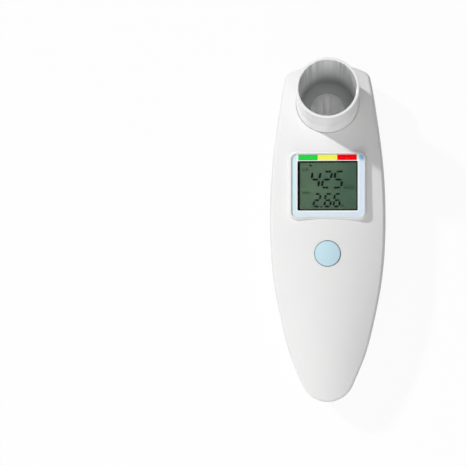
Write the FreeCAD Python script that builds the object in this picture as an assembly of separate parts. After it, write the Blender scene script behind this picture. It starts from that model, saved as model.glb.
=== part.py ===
import FreeCAD, Part
import functools
import math
import os

Vector = FreeCAD.Vector

# All lengths are in millimetres and all angles in degrees
# The meter lies on its back: X to the right, Y to the head end, Z out of the display

# Housing outline, seen from the front
BODY_LENGTH = 170.8
BODY_WIDTH = 58.3
HEAD_ARC_R = 43.0
HEAD_CORNER_R = 5.0
HEAD_CORNER_X = 16.7
HEAD_SIDE_ANGLE = 13.0
TIP_R = 14.0
TIP_SIDE_ANGLE = 22.3
# Side curve as distance from the head end, and how far it lies inside the widest line
SIDE_FROM_HEAD = [(26.4, 4.35), (47.4, 1.55), (79.4, 0.0)]
# The same towards the grip, as distance from the tip
SIDE_FROM_TIP = [(61.4, 1.85), (37.9, 6.35), (19.7, 11.55)]

# Housing depth
FRONT_Z = 27.0
PART_Z = 13.0
WALL = 2.2
FRONT_DRAFT = 6.5
REAR_DRAFT = 8.0
FRONT_EDGE_R = 1.6
REAR_EDGE_R = 3.2
SEAM_STEP = 0.25
TUBE_TILT = 9.5
HEAD_SLOPE_START = 47.4
HEAD_SLOPE_BLEND = 16.6
TIP_FALL_START = 73.4
TIP_FALL = 8.5
HEAD_RISE = 3.0
HEAD_RISE_LENGTH = 45.4
TIP_RISE = 5.0
TIP_RISE_LENGTH = 25.4
# How far the crowned front face falls from its centre line to just past the widest line
CROWN_REACH = 3.0
BEYOND_TIP_CROWN = 22.9
TIP_CROWN = 15.0
GRIP_CROWN = 9.8
WAIST_CROWN = 6.6
FACE_CROWN = 5.6
HEAD_CROWN = 5.8

# Joint between the shells
LIP_HEIGHT = 1.2
LIP_THICK = 0.9
FIT_GAP = 0.15
SLIDE_GAP = 0.25
COVER_SPLIT = 97.4
COVER_GAP = 0.3
SILL_REACH = 2.5
SILL_THICK = 1.1

# Breathing tube; heights along its axis count from the front face of the head
TUBE_FROM_HEAD = 20.4
MOUTH_OUTER_R = 15.0
MOUTH_BORE_R = 13.7
MOUTH_BASE_R = 15.55
MOUTH_REACH = 23.5
MOUTH_TAPER_END = 8.0
MOUTH_LIP_R = 0.3
SPIGOT_WALL = 1.1
SPIGOT_DEPTH = 7.2
SHOULDER_DEPTH = 2.4
CUP_STEP = 0.3
TUBE_HOLE_GAP = 0.2
CUP_WALL = 2.0
CUP_FLOOR_DEPTH = 13.9
FLOOR_THICK = 1.6
ORIFICE_R = 8.8
ORIFICE_LIP = 0.6
OUTLET_R = 10.2
OUTLET_WALL = 1.4
OUTLET_DEPTH = 18.0
SEAL_DEPTH = 6.0
SEAL_THICK = 0.8
SEAL_HEIGHT = 1.6
SEAL_GAP = 0.05
SCREEN_THICK = 0.3
SCREEN_PITCH = 2.2
SCREEN_BAR = 0.5
RETAINER_HEIGHT = 1.8
GASKET_THICK = 0.6
SOCKET_THICK = 1.2
SOCKET_DEPTH = 6.0
COLLAR_WALL = 2.6
GRILLE_R = 9.4
GRILLE_THICK = 1.6
GRILLE_SLOT = 2.2
GRILLE_PITCH = 3.6

# Pressure taps, sensor and hoses
NIPPLE_R = 1.3
NIPPLE_BORE_R = 0.6
NIPPLE_LENGTH = 5.0
NIPPLE_X = 5.0
UPPER_TAP_DEPTH = 11.2
LOWER_TAP_DEPTH = 16.5
HOSE_R = 2.1
HOSE_GRIP = 3.5
HOSE_BEND_R = 5.5
HOSE_STRAIGHT = 2.0
SENSOR_LENGTH = 11.0
SENSOR_WIDTH = 15.0
SENSOR_HEIGHT = 4.6
SENSOR_BEVEL = 0.6
SENSOR_FROM_HEAD = 73.4
PORT_LENGTH = 5.5

# Display stack
LENS_WIDTH = 35.6
LENS_HEIGHT = 31.2
LENS_CORNER_R = 2.6
LENS_THICK = 0.5
LENS_GAP = 0.1
LENS_FROM_HEAD = 46.4
LENS_SUNK = 0.1
LENS_BEVEL = 0.15
SURROUND_RIM = 0.6
SURROUND_CREST_R = 0.35
SURROUND_BEVEL = 1.5
SURROUND_RISE = 0.4
SURROUND_ROOT = 2.8
MASK_THICK = 0.5
WINDOW_WIDTH = 29.6
WINDOW_HEIGHT = 24.5
WINDOW_FROM_TOP = 3.4
WINDOW_CORNER_R = 0.6
ZONE_WIDTH = 28.8
ZONE_HEIGHT = 2.8
ZONE_FROM_TOP = 0.3
ZONE_THICK = 0.2
DUST_FRAME_THICK = 0.3
LCD_MARGIN = 1.1
LCD_THICK = 2.0
LCD_GAP = 0.1
LCD_STEP = 0.8
HOLDER_WALL = 1.2
HOLDER_CORNER_R = 1.2
HOLDER_LEDGE = 0.7
HOLDER_GRIP = 0.9
ZEBRA_WIDTH = 2.0

# Circuit board and what it carries
BOARD_WIDTH = 36.0
BOARD_LENGTH = 63.0
BOARD_FROM_HEAD = 40.9
BOARD_THICK = 1.6
BOARD_CORNER_R = 2.0
BOARD_DROP = 3.7
BUZZER_R = 6.0
BUZZER_HEIGHT = 4.2
BUZZER_HOLE_R = 1.2
BUZZER_X = -9.0
BUZZER_FROM_SENSOR = -13.0
CHIP_HEIGHT = 1.3
CHIP_BEVEL = 0.25
# Packages as x, distance from the sensor, width and length
CHIPS = [(10.5, -14.0, 9.0, 9.0), (-12.5, 4.0, 4.0, 5.0), (12.5, 4.0, 4.0, 5.0), (13.0, 17.0, 3.0, 6.0),
         (-13.0, 17.0, 3.0, 6.0)]

# Button and switch
BUTTON_R = 6.35
BUTTON_FROM_HEAD = 95.5
BUTTON_PROUD = 0.8
BUTTON_DOME = 0.5
BUTTON_GAP = 0.2
BUTTON_FLANGE = 1.2
BUTTON_FLANGE_THICK = 1.0
BUTTON_TRAVEL = 0.3
BUTTON_EDGE_R = 0.5
BUTTON_FLANGE_GAP = 0.4
SWITCH_SIZE = 6.0
SWITCH_HEIGHT = 2.2
SWITCH_BEVEL = 0.6
PLUNGER_R = 1.7
PLUNGER_RISE = 0.5
PLUNGER_SUNK = 1.0
GUIDE_THICK = 1.0
GUIDE_DEPTH = 1.6

# Batteries and their tray
CELL_R = 5.25
CELL_LENGTH = 44.5
CELL_NUB_R = 1.9
CELL_NUB = 0.9
CELL_PITCH = 11.2
CELL_Z = 8.0
CELL_ROOM = 0.3
CELL_BEVEL = 0.4
TRAY_WALL = 1.3
TRAY_TOP = 1.2
TRAY_EAR = 1.0
DIVIDER_THICK = 0.6
DIVIDER_GAP = 1.5
DIVIDER_DEPTH = 2.6
TRAY_FOOT_Z = 6.4
TRAY_FLANGE = 1.5
TRAY_FLANGE_THICK = 1.2
TRAY_FROM_HEAD = 101.5
RAIL_LENGTH = 34.0
RAIL_THICK = 1.3
HOOK_THICK = 1.2
CONTACT_THICK = 0.3
CONTACT_HALF = 4.65
CONTACT_FOOT = 1.8
SPRING_ROOM = 3.4
LEAF_WIDTH = 5.0
LEAF_HEIGHT = 6.4
LEAF_THICK = 0.4
THUMB_GROOVES = 5
GROOVE_PITCH = 2.4
GROOVE_WIDTH = 1.2
GROOVE_DEPTH = 0.6
GROOVE_LENGTH = 13.0

# Fasteners: one housing size and one small size
SCREW_HEAD_R = 2.2
SCREW_HEAD = 1.5
SCREW_R = 1.1
SCREW_LENGTH = 8.0
SMALL_HEAD_R = 1.7
SMALL_HEAD = 1.1
SMALL_SCREW_R = 0.8
SMALL_LENGTH = 3.4
HOLE_GAP = 0.2
PILOT_GAP = 0.05
WELL_WALL = 1.4
WELL_DEPTH = 6.0
WELL_WEB = 1.6
BOSS_WALL = 1.6
SMALL_BOSS_WALL = 1.3

# Places worked out from the sizes above
HEAD_Y = BODY_LENGTH / 2
TIP_Y = -HEAD_Y
SPLIT_Y = HEAD_Y - COVER_SPLIT
SIN_TILT = math.sin(math.radians(TUBE_TILT))
COS_TILT = math.cos(math.radians(TUBE_TILT))
LENS_TOP_Y = HEAD_Y - LENS_FROM_HEAD
LENS_Y = LENS_TOP_Y - LENS_HEIGHT / 2
WINDOW_Y = LENS_TOP_Y - WINDOW_FROM_TOP - WINDOW_HEIGHT / 2
BUTTON_Y = HEAD_Y - BUTTON_FROM_HEAD
SURROUND_Z = FRONT_Z + SURROUND_RISE
LENS_Z = SURROUND_Z - LENS_SUNK
MASK_Z = LENS_Z - LENS_THICK
LEDGE_Z = MASK_Z - MASK_THICK
LCD_Z = LEDGE_Z - DUST_FRAME_THICK
BOARD_Z = LCD_Z - LCD_THICK - BOARD_DROP
BOARD_TOP_Y = HEAD_Y - BOARD_FROM_HEAD
BOARD_UNDER_Z = BOARD_Z - BOARD_THICK
LCD_WIDTH = WINDOW_WIDTH + 2 * LCD_MARGIN
LCD_HEIGHT = WINDOW_HEIGHT + 2 * LCD_MARGIN
HOLDER_WIDTH = LCD_WIDTH + 2 * (LCD_GAP + HOLDER_WALL)
HOLDER_HEIGHT = LCD_HEIGHT + 2 * (LCD_GAP + HOLDER_WALL)
SPIGOT_R = MOUTH_BORE_R + SPIGOT_WALL
CUP_BORE_R = SPIGOT_R + SEAL_GAP + 0.05
CUP_R = CUP_BORE_R + CUP_WALL
SENSOR_Y = HEAD_Y - SENSOR_FROM_HEAD
PORT_Z = BOARD_UNDER_Z - SENSOR_HEIGHT / 2 - 0.2
TRAY_Y = HEAD_Y - TRAY_FROM_HEAD
TRAY_INNER_LENGTH = CELL_LENGTH + CELL_NUB + SPRING_ROOM + 2 * CONTACT_THICK
TRAY_END_Y = TRAY_Y - 2 * TRAY_WALL - TRAY_INNER_LENGTH
TRAY_HALF = CELL_PITCH / 2 + CELL_R + CELL_ROOM
TRAY_UNDER_Z = CELL_Z + CELL_R + CELL_ROOM
TRAY_TOP_Z = TRAY_UNDER_Z + TRAY_TOP
FLANGE_X = TRAY_HALF + TRAY_WALL + TRAY_FLANGE
BOSS_R = SCREW_R + BOSS_WALL
SMALL_BOSS_R = SMALL_SCREW_R + SMALL_BOSS_WALL
WELL_TOP_Z = WELL_DEPTH + WELL_WEB
FAR = BODY_LENGTH

# Screw places as (x, y), mirrored in x by the loops that use them
HOUSING_SCREWS = [(BODY_WIDTH / 2 - 9.3, HEAD_Y - 36.2), (BODY_WIDTH / 2 - 7.3, SPLIT_Y + 8.0)]
BOARD_SCREWS = [(BOARD_WIDTH / 2 - 2.5, BOARD_TOP_Y - 2.5),
                (BOARD_WIDTH / 2 - 2.5, BOARD_TOP_Y - BOARD_LENGTH + 2.5)]
TRAY_SCREWS = [(TRAY_HALF + TRAY_WALL + 4.2, TRAY_Y - 5.0), (0.0, TRAY_END_Y - 3.2)]


def mirrored(places):
    """Every place, and its mirror image where it is off the centre line."""
    both = []
    for x, y in places:
        both.append((x, y))
        if x > 0:
            both.append((-x, y))
    return both


def fused(shapes):
    """One shape from a list of overlapping shapes."""
    whole = shapes[0]
    for shape in shapes[1:]:
        whole = whole.fuse(shape)
    return whole


def block(x0, x1, y0, y1, z0, z1):
    return Part.makeBox(x1 - x0, y1 - y0, z1 - z0, Vector(x0, y0, z0))


def rod(r, x, y, z0, z1):
    return Part.makeCylinder(r, z1 - z0, Vector(x, y, z0), Vector(0, 0, 1))


def rod_along_y(r, x, z, y0, y1):
    return Part.makeCylinder(r, y1 - y0, Vector(x, y0, z), Vector(0, 1, 0))


def rounded_wire(width, height, r, y, z):
    """A rectangle with rounded corners, centred on x = 0."""
    corners = [(1, 1), (-1, 1), (-1, -1), (1, -1)]
    arcs = []
    for i, (sx, sy) in enumerate(corners):
        cx = sx * (width / 2 - r)
        cy = y + sy * (height / 2 - r)
        angles = [math.radians(90 * i + a) for a in (0, 45, 90)]
        points = [Vector(cx + r * math.cos(a), cy + r * math.sin(a), z) for a in angles]
        arcs.append(Part.Arc(*points).toShape())
    edges = []
    for i, arc in enumerate(arcs):
        following = arcs[(i + 1) % 4]
        edges.append(arc)
        edges.append(Part.makeLine(arc.Vertexes[-1].Point, following.Vertexes[0].Point))
    return Part.Wire(edges)


def rounded_plate(width, height, r, y, z0, z1):
    face = Part.Face(rounded_wire(width, height, r, y, z0))
    return face.extrude(Vector(0, 0, z1 - z0))


def turned(profile):
    """A ring turned about Z from its (radius, height) corners."""
    points = [Vector(r, 0, s) for r, s in profile]
    face = Part.Face(Part.makePolygon(points + points[:1]))
    return face.revolve(Vector(0, 0, 0), Vector(0, 0, 1), 360)


def crown_z(y):
    """Height of the front face on the centre line: flat, sloped at the head, falling to the tip."""
    slope_y = HEAD_Y - HEAD_SLOPE_START
    fall_y = -HEAD_Y + TIP_FALL_START
    slope = SIN_TILT / COS_TILT
    if y > slope_y + HEAD_SLOPE_BLEND:
        return FRONT_Z - slope * (y - slope_y - HEAD_SLOPE_BLEND / 2)
    if y > slope_y:
        return FRONT_Z - slope * (y - slope_y) ** 2 / (2 * HEAD_SLOPE_BLEND)
    if y < fall_y:
        return FRONT_Z - TIP_FALL * ((y - fall_y) / TIP_FALL_START) ** 2
    return FRONT_Z


TUBE_Y = HEAD_Y - TUBE_FROM_HEAD
TUBE_Z = crown_z(TUBE_Y)


def on_tube(shape):
    """Put a shape that was drawn about Z onto the tilted axis of the breathing tube."""
    placed = shape.copy()
    placed.rotate(Vector(0, 0, 0), Vector(1, 0, 0), -TUBE_TILT)
    placed.translate(Vector(0, TUBE_Y, TUBE_Z))
    return placed


def outline(inset, z):
    """The plan outline of the housing, drawn in by an inset: arcs at the ends, a curve per side."""
    arc_y = HEAD_Y - HEAD_ARC_R
    corner_y = arc_y + math.sqrt((HEAD_ARC_R - HEAD_CORNER_R) ** 2 - HEAD_CORNER_X ** 2)
    tip_y = TIP_Y + TIP_R
    top_angle = math.atan2(corner_y - arc_y, HEAD_CORNER_X)
    side_angle = math.radians(HEAD_SIDE_ANGLE)
    tip_angle = math.radians(TIP_SIDE_ANGLE)

    def polar(x, y, r, angle):
        return Vector(x + r * math.cos(angle), y + r * math.sin(angle), 0)

    half = BODY_WIDTH / 2
    stations = [polar(HEAD_CORNER_X, corner_y, HEAD_CORNER_R, side_angle)]
    stations += [Vector(half - draw, HEAD_Y - d, 0) for d, draw in SIDE_FROM_HEAD]
    stations += [Vector(half - draw, TIP_Y + d, 0) for d, draw in SIDE_FROM_TIP]
    stations.append(polar(0, tip_y, TIP_R, -tip_angle))
    first = Vector(math.sin(side_angle), -math.cos(side_angle), 0)
    last = Vector(-math.sin(tip_angle), -math.cos(tip_angle), 0)
    curve = Part.BSplineCurve()
    curve.interpolate(Points=stations, InitialTangent=first, FinalTangent=last)

    drawn = []
    steps = 10
    span = curve.LastParameter - curve.FirstParameter
    for i in range(steps + 1):
        u = curve.FirstParameter + span * i / steps
        heading = curve.tangent(u)[0]
        drawn.append(curve.value(u) + Vector(heading.y, -heading.x, 0) * inset)
    side = Part.BSplineCurve()
    side.interpolate(Points=drawn, InitialTangent=first, FinalTangent=last)

    corner_r = HEAD_CORNER_R - inset
    corner = Part.Arc(polar(HEAD_CORNER_X, corner_y, corner_r, top_angle),
                      polar(HEAD_CORNER_X, corner_y, corner_r, (top_angle + side_angle) / 2),
                      polar(HEAD_CORNER_X, corner_y, corner_r, side_angle)).toShape()
    right = [corner, side.toShape()]
    left = [edge.mirror(Vector(0, 0, 0), Vector(1, 0, 0)) for edge in right]
    head_r = HEAD_ARC_R - inset
    head = Part.Arc(polar(0, arc_y, head_r, math.pi - top_angle), Vector(0, arc_y + head_r, 0),
                    polar(0, arc_y, head_r, top_angle)).toShape()
    tip_r = TIP_R - inset
    tip = Part.Arc(polar(0, tip_y, tip_r, -tip_angle), Vector(0, tip_y - tip_r, 0),
                   polar(0, tip_y, tip_r, tip_angle - math.pi)).toShape()
    wire = Part.Wire(Part.__sortEdges__([head] + right + [tip] + left))
    wire.translate(Vector(0, 0, z))
    return wire


def outline_plate(inset, z0, z1):
    return Part.Face(outline(inset, z0)).extrude(Vector(0, 0, z1 - z0))


def crown_block(inset):
    """Everything under the crowned front face, lofted from crown arcs along the length."""
    half = BODY_WIDTH / 2 + CROWN_REACH - inset
    beyond = HEAD_Y + 10
    fall_y = -HEAD_Y + TIP_FALL_START
    slope_y = HEAD_Y - HEAD_SLOPE_START
    stations = [(-beyond, BEYOND_TIP_CROWN), (TIP_Y + 15.4, TIP_CROWN), (TIP_Y + 40.4, GRIP_CROWN),
                (fall_y, WAIST_CROWN), (slope_y - 23, FACE_CROWN), (slope_y, FACE_CROWN),
                (slope_y + HEAD_SLOPE_BLEND, FACE_CROWN), (HEAD_Y - 10.4, HEAD_CROWN), (beyond, HEAD_CROWN)]
    wires = []
    for y, drop in stations:
        full = half + inset
        r = (full * full + drop * drop) / (2 * drop) - inset
        top = crown_z(y) - inset
        edge = top - (r - math.sqrt(r * r - half * half))
        arc = Part.Arc(Vector(-half, y, edge), Vector(0, y, top), Vector(half, y, edge)).toShape()
        foot = [Vector(half, y, edge), Vector(half, y, -FRONT_Z), Vector(-half, y, -FRONT_Z),
                Vector(-half, y, edge)]
        wires.append(Part.Wire([arc] + [Part.makeLine(a, b) for a, b in zip(foot, foot[1:])]))
    return Part.makeLoft(wires, True, False)


@functools.lru_cache(maxsize=None)
def front_form(inset):
    """The front half as a full body: drafted outline under the crown, with a rounded edge."""
    top = FRONT_Z + 3
    lean = (top - PART_Z) * math.tan(math.radians(FRONT_DRAFT))
    sides = Part.makeLoft([outline(inset, PART_Z), outline(inset + lean, top)], True, True)
    form = sides.common(crown_block(inset))
    radius = FRONT_EDGE_R - inset
    if radius > 0.4:
        edges = [e for e in form.Edges if e.BoundBox.ZMin > PART_Z + 0.05]
        form = form.makeFillet(radius, edges)
    return form


def rear_profile(inset):
    """Side view of the back as a slab: flat where it rests, rising to the head and to the tip."""
    half = BODY_WIDTH
    head_flat = HEAD_Y - HEAD_RISE_LENGTH
    tip_flat = TIP_Y + TIP_RISE_LENGTH
    head_r = (HEAD_RISE_LENGTH ** 2 + HEAD_RISE ** 2) / (2 * HEAD_RISE)
    tip_r = (TIP_RISE_LENGTH ** 2 + TIP_RISE ** 2) / (2 * TIP_RISE)
    reach = 4.0
    head_angle = math.asin((HEAD_RISE_LENGTH + reach) / head_r)
    tip_angle = math.asin((TIP_RISE_LENGTH + reach) / tip_r)

    def arc_point(y, radius, sign, angle):
        r = radius - inset
        return Vector(-half, y + sign * r * math.sin(angle), radius - r * math.cos(angle))

    head_end = arc_point(head_flat, head_r, 1, head_angle)
    tip_end = arc_point(tip_flat, tip_r, -1, tip_angle)
    head_start = Vector(-half, head_flat, inset)
    tip_start = Vector(-half, tip_flat, inset)
    top_z = FRONT_Z
    edges = [Part.makeLine(tip_start, head_start),
             Part.Arc(head_start, arc_point(head_flat, head_r, 1, head_angle / 2), head_end).toShape(),
             Part.makeLine(head_end, Vector(-half, head_end.y, top_z)),
             Part.makeLine(Vector(-half, head_end.y, top_z), Vector(-half, tip_end.y, top_z)),
             Part.makeLine(Vector(-half, tip_end.y, top_z), tip_end),
             Part.Arc(tip_end, arc_point(tip_flat, tip_r, -1, tip_angle / 2), tip_start).toShape()]
    return Part.Face(Part.Wire(edges)).extrude(Vector(2 * half, 0, 0))


@functools.lru_cache(maxsize=None)
def rear_form(inset):
    """The rear half as a full body, a seam step inside the front half, with rounded edges."""
    low = -1.0
    start = inset + SEAM_STEP
    lean = (PART_Z - low) * math.tan(math.radians(REAR_DRAFT))
    sides = Part.makeLoft([outline(start, PART_Z), outline(start + lean, low)], True, True)
    form = sides.common(rear_profile(inset))
    radius = REAR_EDGE_R - inset
    if radius > 1.2:
        edges = [e for e in form.Edges if e.BoundBox.ZMax < PART_Z - 0.05]
        form = form.makeFillet(radius, edges)
    return form


def boss(x, y, low_z, r, form):
    """A round boss that grows out of the front wall and ends at low_z."""
    upper = rod(r, x, y, max(low_z, PART_Z), FRONT_Z + 2).common(form)
    if low_z < PART_Z:
        return upper.fuse(rod(r, x, y, low_z, PART_Z))
    return upper


def surround():
    """The raised bezel round the display, bevelled outside."""
    base_z = FRONT_Z - SURROUND_ROOT
    top = 2 * SURROUND_RIM
    base = top + 2 * SURROUND_BEVEL
    lower = rounded_wire(LENS_WIDTH + base, LENS_HEIGHT + base, LENS_CORNER_R + base / 2, LENS_Y, base_z)
    upper = rounded_wire(LENS_WIDTH + top, LENS_HEIGHT + top, LENS_CORNER_R + top / 2, LENS_Y, SURROUND_Z)
    raised = Part.makeLoft([lower, upper], True, True)
    crest = [e for e in raised.Edges if e.BoundBox.ZMin > SURROUND_Z - 0.05]
    return raised.makeFillet(SURROUND_CREST_R, crest)


def display_cut():
    """Seat for window and mask, the ledge opening, and room for the read-out's holder."""
    gap = 2 * LENS_GAP
    seat = rounded_plate(LENS_WIDTH + gap, LENS_HEIGHT + gap, LENS_CORNER_R + LENS_GAP, LENS_Y,
                         LEDGE_Z, SURROUND_Z + 1)
    opening = rounded_plate(LCD_WIDTH + 4 * LCD_GAP, LCD_HEIGHT + 4 * LCD_GAP, WINDOW_CORNER_R, WINDOW_Y,
                            BOARD_Z, LEDGE_Z + 0.1)
    gap = 2 * FIT_GAP
    room = rounded_plate(HOLDER_WIDTH + gap, HOLDER_HEIGHT + gap, HOLDER_CORNER_R, WINDOW_Y,
                         BOARD_Z, LCD_Z - HOLDER_GRIP + FIT_GAP)
    return [seat, opening, room]


def front_shell():
    outer = front_form(0)
    web = front_form(WALL / 2)
    shell = outer.fuse(surround()).cut(front_form(WALL))
    lip = outline_plate(WALL - LIP_THICK, PART_Z - LIP_HEIGHT, PART_Z)
    lip = lip.cut(outline_plate(WALL, PART_Z - LIP_HEIGHT, PART_Z))
    added = [shell, lip]
    added += [boss(x, y, WELL_TOP_Z, BOSS_R, web) for x, y in mirrored(HOUSING_SCREWS)]
    added += [boss(x, y, BOARD_Z, SMALL_BOSS_R, web) for x, y in mirrored(BOARD_SCREWS)]
    added += [boss(x, y, TRAY_TOP_Z, SMALL_BOSS_R, web) for x, y in mirrored(TRAY_SCREWS)]
    guide_r = BUTTON_R + BUTTON_FLANGE + BUTTON_GAP
    guide = rod(guide_r + GUIDE_THICK, 0, BUTTON_Y, FRONT_Z - WALL - GUIDE_DEPTH, FRONT_Z)
    guide = guide.cut(rod(guide_r, 0, BUTTON_Y, 0, FRONT_Z - WALL))
    added.append(guide.common(web))
    socket_r = CUP_R + FIT_GAP
    socket = turned([(socket_r, -SOCKET_DEPTH), (socket_r + SOCKET_THICK, -SOCKET_DEPTH),
                     (socket_r + SOCKET_THICK, 0), (socket_r, 0)])
    added.append(on_tube(socket).common(web))
    shell = fused(added)
    cuts = display_cut()
    cuts.append(rod(BUTTON_R + BUTTON_GAP, 0, BUTTON_Y, PART_Z, FRONT_Z + 2))
    cuts.append(on_tube(rod(MOUTH_BASE_R + TUBE_HOLE_GAP, 0, 0, -WALL - 2, 10)))
    cuts.append(on_tube(rod(socket_r, 0, 0, -OUTLET_DEPTH, -SHOULDER_DEPTH)))
    for x, y in mirrored(HOUSING_SCREWS):
        cuts.append(rod(SCREW_R + PILOT_GAP, x, y, WELL_TOP_Z, WELL_TOP_Z + SCREW_LENGTH))
    for x, y in mirrored(BOARD_SCREWS):
        cuts.append(rod(SMALL_SCREW_R + PILOT_GAP, x, y, BOARD_Z, BOARD_Z + SMALL_LENGTH))
    for x, y in mirrored(TRAY_SCREWS):
        cuts.append(rod(SMALL_SCREW_R + PILOT_GAP, x, y, TRAY_TOP_Z, TRAY_TOP_Z + SMALL_LENGTH))
    for cut in cuts:
        shell = shell.cut(cut)
    return shell


def lip_room():
    """The step in the rear parts that takes the front shell's lip."""
    low = PART_Z - LIP_HEIGHT - FIT_GAP
    return outline_plate(WALL - LIP_THICK - FIT_GAP, low, PART_Z + 1)


def grille_cut():
    """Parallel outlet slots with round ends, kept inside one circle."""
    slots = []
    count = int(GRILLE_R / GRILLE_PITCH)
    for i in range(-count, count + 1):
        x = i * GRILLE_PITCH
        half = math.sqrt(GRILLE_R ** 2 - (abs(x) + GRILLE_SLOT / 2) ** 2)
        r = GRILLE_SLOT / 2
        low = -OUTLET_DEPTH - GASKET_THICK - 12
        slot = block(x - r, x + r, -half + r, half - r, low, -OUTLET_DEPTH)
        for y in (half - r, r - half):
            slot = slot.fuse(rod(r, x, y, low, -OUTLET_DEPTH))
        slots.append(slot)
    return [on_tube(slot) for slot in slots]


def rear_shell():
    outer = rear_form(0)
    inner = rear_form(WALL)
    core = rear_form(WALL + SLIDE_GAP + SILL_THICK)
    upper = block(-FAR, FAR, SPLIT_Y, FAR, -FAR, FAR)
    shell = outer.cut(inner).common(upper)
    sill_z = PART_Z - LIP_HEIGHT - FIT_GAP
    band = rear_form(WALL + SLIDE_GAP).common(block(-FAR, FAR, SPLIT_Y - SILL_REACH, SPLIT_Y, 0, sill_z))
    root = rear_form(WALL / 2).common(block(-FAR, FAR, SPLIT_Y, SPLIT_Y + SILL_REACH, 0, sill_z))
    sill = band.fuse(root).cut(core)
    collar_top = -OUTLET_DEPTH - GASKET_THICK
    collar_r = OUTLET_R + COLLAR_WALL
    collar = on_tube(rod(collar_r, 0, 0, collar_top - 10, collar_top)).common(rear_form(WALL / 2))
    added = [shell, sill, collar]
    well_r = SCREW_HEAD_R + HOLE_GAP
    for x, y in mirrored(HOUSING_SCREWS):
        added.append(rod(well_r + WELL_WALL, x, y, 0, WELL_TOP_Z).common(rear_form(0.01)))
    shell = fused(added)
    cuts = [lip_room()] + grille_cut()
    plenum = on_tube(rod(OUTLET_R, 0, 0, collar_top - 10, 0)).common(rear_form(GRILLE_THICK))
    cuts.append(plenum)
    cuts.append(on_tube(rod(OUTLET_R + OUTLET_WALL + FIT_GAP, 0, 0, collar_top, 0)))
    for x, y in mirrored(HOUSING_SCREWS):
        cuts.append(rod(well_r, x, y, -1, WELL_DEPTH))
        cuts.append(rod(SCREW_R + HOLE_GAP, x, y, -1, WELL_TOP_Z + 1))
    for cut in cuts:
        shell = shell.cut(cut)
    return shell


def rail(side):
    """One hooked rail of the cover, which runs over the tray's flange."""
    inner = FLANGE_X + SLIDE_GAP
    hook_z = TRAY_FOOT_Z + TRAY_FLANGE_THICK + SLIDE_GAP
    y1 = SPLIT_Y - COVER_GAP - 6.0
    y0 = y1 - RAIL_LENGTH
    upright = block(inner, inner + RAIL_THICK, y0, y1, WALL / 2, hook_z + HOOK_THICK)
    hook = block(FLANGE_X - TRAY_FLANGE + SLIDE_GAP, inner + RAIL_THICK, y0, y1, hook_z, hook_z + HOOK_THICK)
    whole = upright.fuse(hook)
    if side < 0:
        whole = whole.mirror(Vector(0, 0, 0), Vector(1, 0, 0))
    return whole


def battery_cover():
    outer = rear_form(0)
    lower = block(-FAR, FAR, -FAR, SPLIT_Y - COVER_GAP, -FAR, PART_Z - SLIDE_GAP)
    shell = outer.cut(rear_form(WALL)).common(lower)
    rails = [rail(side).common(rear_form(WALL / 2)) for side in (1, -1)]
    cover = fused([shell] + rails).cut(lip_room())
    for i in range(THUMB_GROOVES):
        y = SPLIT_Y - 10 - i * GROOVE_PITCH
        cover = cover.cut(slot_along_x(GROOVE_LENGTH, GROOVE_WIDTH, y, GROOVE_DEPTH))
    return cover


def slot_along_x(length, width, y, depth):
    """A shallow groove with round ends in the resting face."""
    half = length / 2 - width / 2
    slot = block(-half, half, y - width / 2, y + width / 2, -1, depth)
    for x in (-half, half):
        slot = slot.fuse(rod(width / 2, x, y, -1, depth))
    return slot


def mouthpiece():
    """Round tube with a rolled lip, a slight flare, and a spigot that enters the flow tube."""
    spigot_end = -SHOULDER_DEPTH - SPIGOT_DEPTH
    body = turned([(MOUTH_BORE_R, spigot_end), (SPIGOT_R, spigot_end), (SPIGOT_R, -SHOULDER_DEPTH),
                   (MOUTH_BASE_R, -SHOULDER_DEPTH), (MOUTH_BASE_R, 0), (MOUTH_OUTER_R, MOUTH_TAPER_END),
                   (MOUTH_OUTER_R, MOUTH_REACH), (MOUTH_BORE_R, MOUTH_REACH)])
    rim = [e for e in body.Edges if e.BoundBox.ZMin > MOUTH_REACH - 0.01]
    return on_tube(body.makeFillet(MOUTH_LIP_R, rim))


def flow_tube():
    """Cup for the spigot, floor with its orifice, outlet pipe, seal groove and two pressure taps."""
    top = -SHOULDER_DEPTH - FIT_GAP
    step = top - SPIGOT_DEPTH - FIT_GAP
    floor = -CUP_FLOOR_DEPTH
    under = floor - FLOOR_THICK
    end = -OUTLET_DEPTH
    outlet_outer = OUTLET_R + OUTLET_WALL
    groove_r = CUP_BORE_R + SEAL_THICK
    groove_top = -SEAL_DEPTH + SEAL_HEIGHT / 2
    groove_low = -SEAL_DEPTH - SEAL_HEIGHT / 2
    lower_r = MOUTH_BORE_R + CUP_STEP
    body = turned([(CUP_BORE_R, top), (CUP_BORE_R, groove_top), (groove_r, groove_top), (groove_r, groove_low),
                   (CUP_BORE_R, groove_low), (CUP_BORE_R, step), (lower_r, step), (lower_r, floor),
                   (ORIFICE_R, floor), (ORIFICE_R, floor - ORIFICE_LIP), (OUTLET_R, floor - ORIFICE_LIP),
                   (OUTLET_R, end), (outlet_outer, end), (outlet_outer, under), (CUP_R, under), (CUP_R, top)])
    for side, depth, root in ((-1, UPPER_TAP_DEPTH, CUP_R), (1, LOWER_TAP_DEPTH, outlet_outer)):
        x = side * NIPPLE_X
        start = -math.sqrt(root ** 2 - NIPPLE_X ** 2) + 0.8
        tip = -math.sqrt(CUP_R ** 2 - NIPPLE_X ** 2) - NIPPLE_LENGTH
        body = body.fuse(rod_along_y(NIPPLE_R, x, -depth, tip, start))
        inside = -math.sqrt((root - CUP_WALL) ** 2 - NIPPLE_X ** 2) + 1.5
        body = body.cut(rod_along_y(NIPPLE_BORE_R, x, -depth, tip - 1, inside))
    return on_tube(body.removeSplitter())


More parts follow.
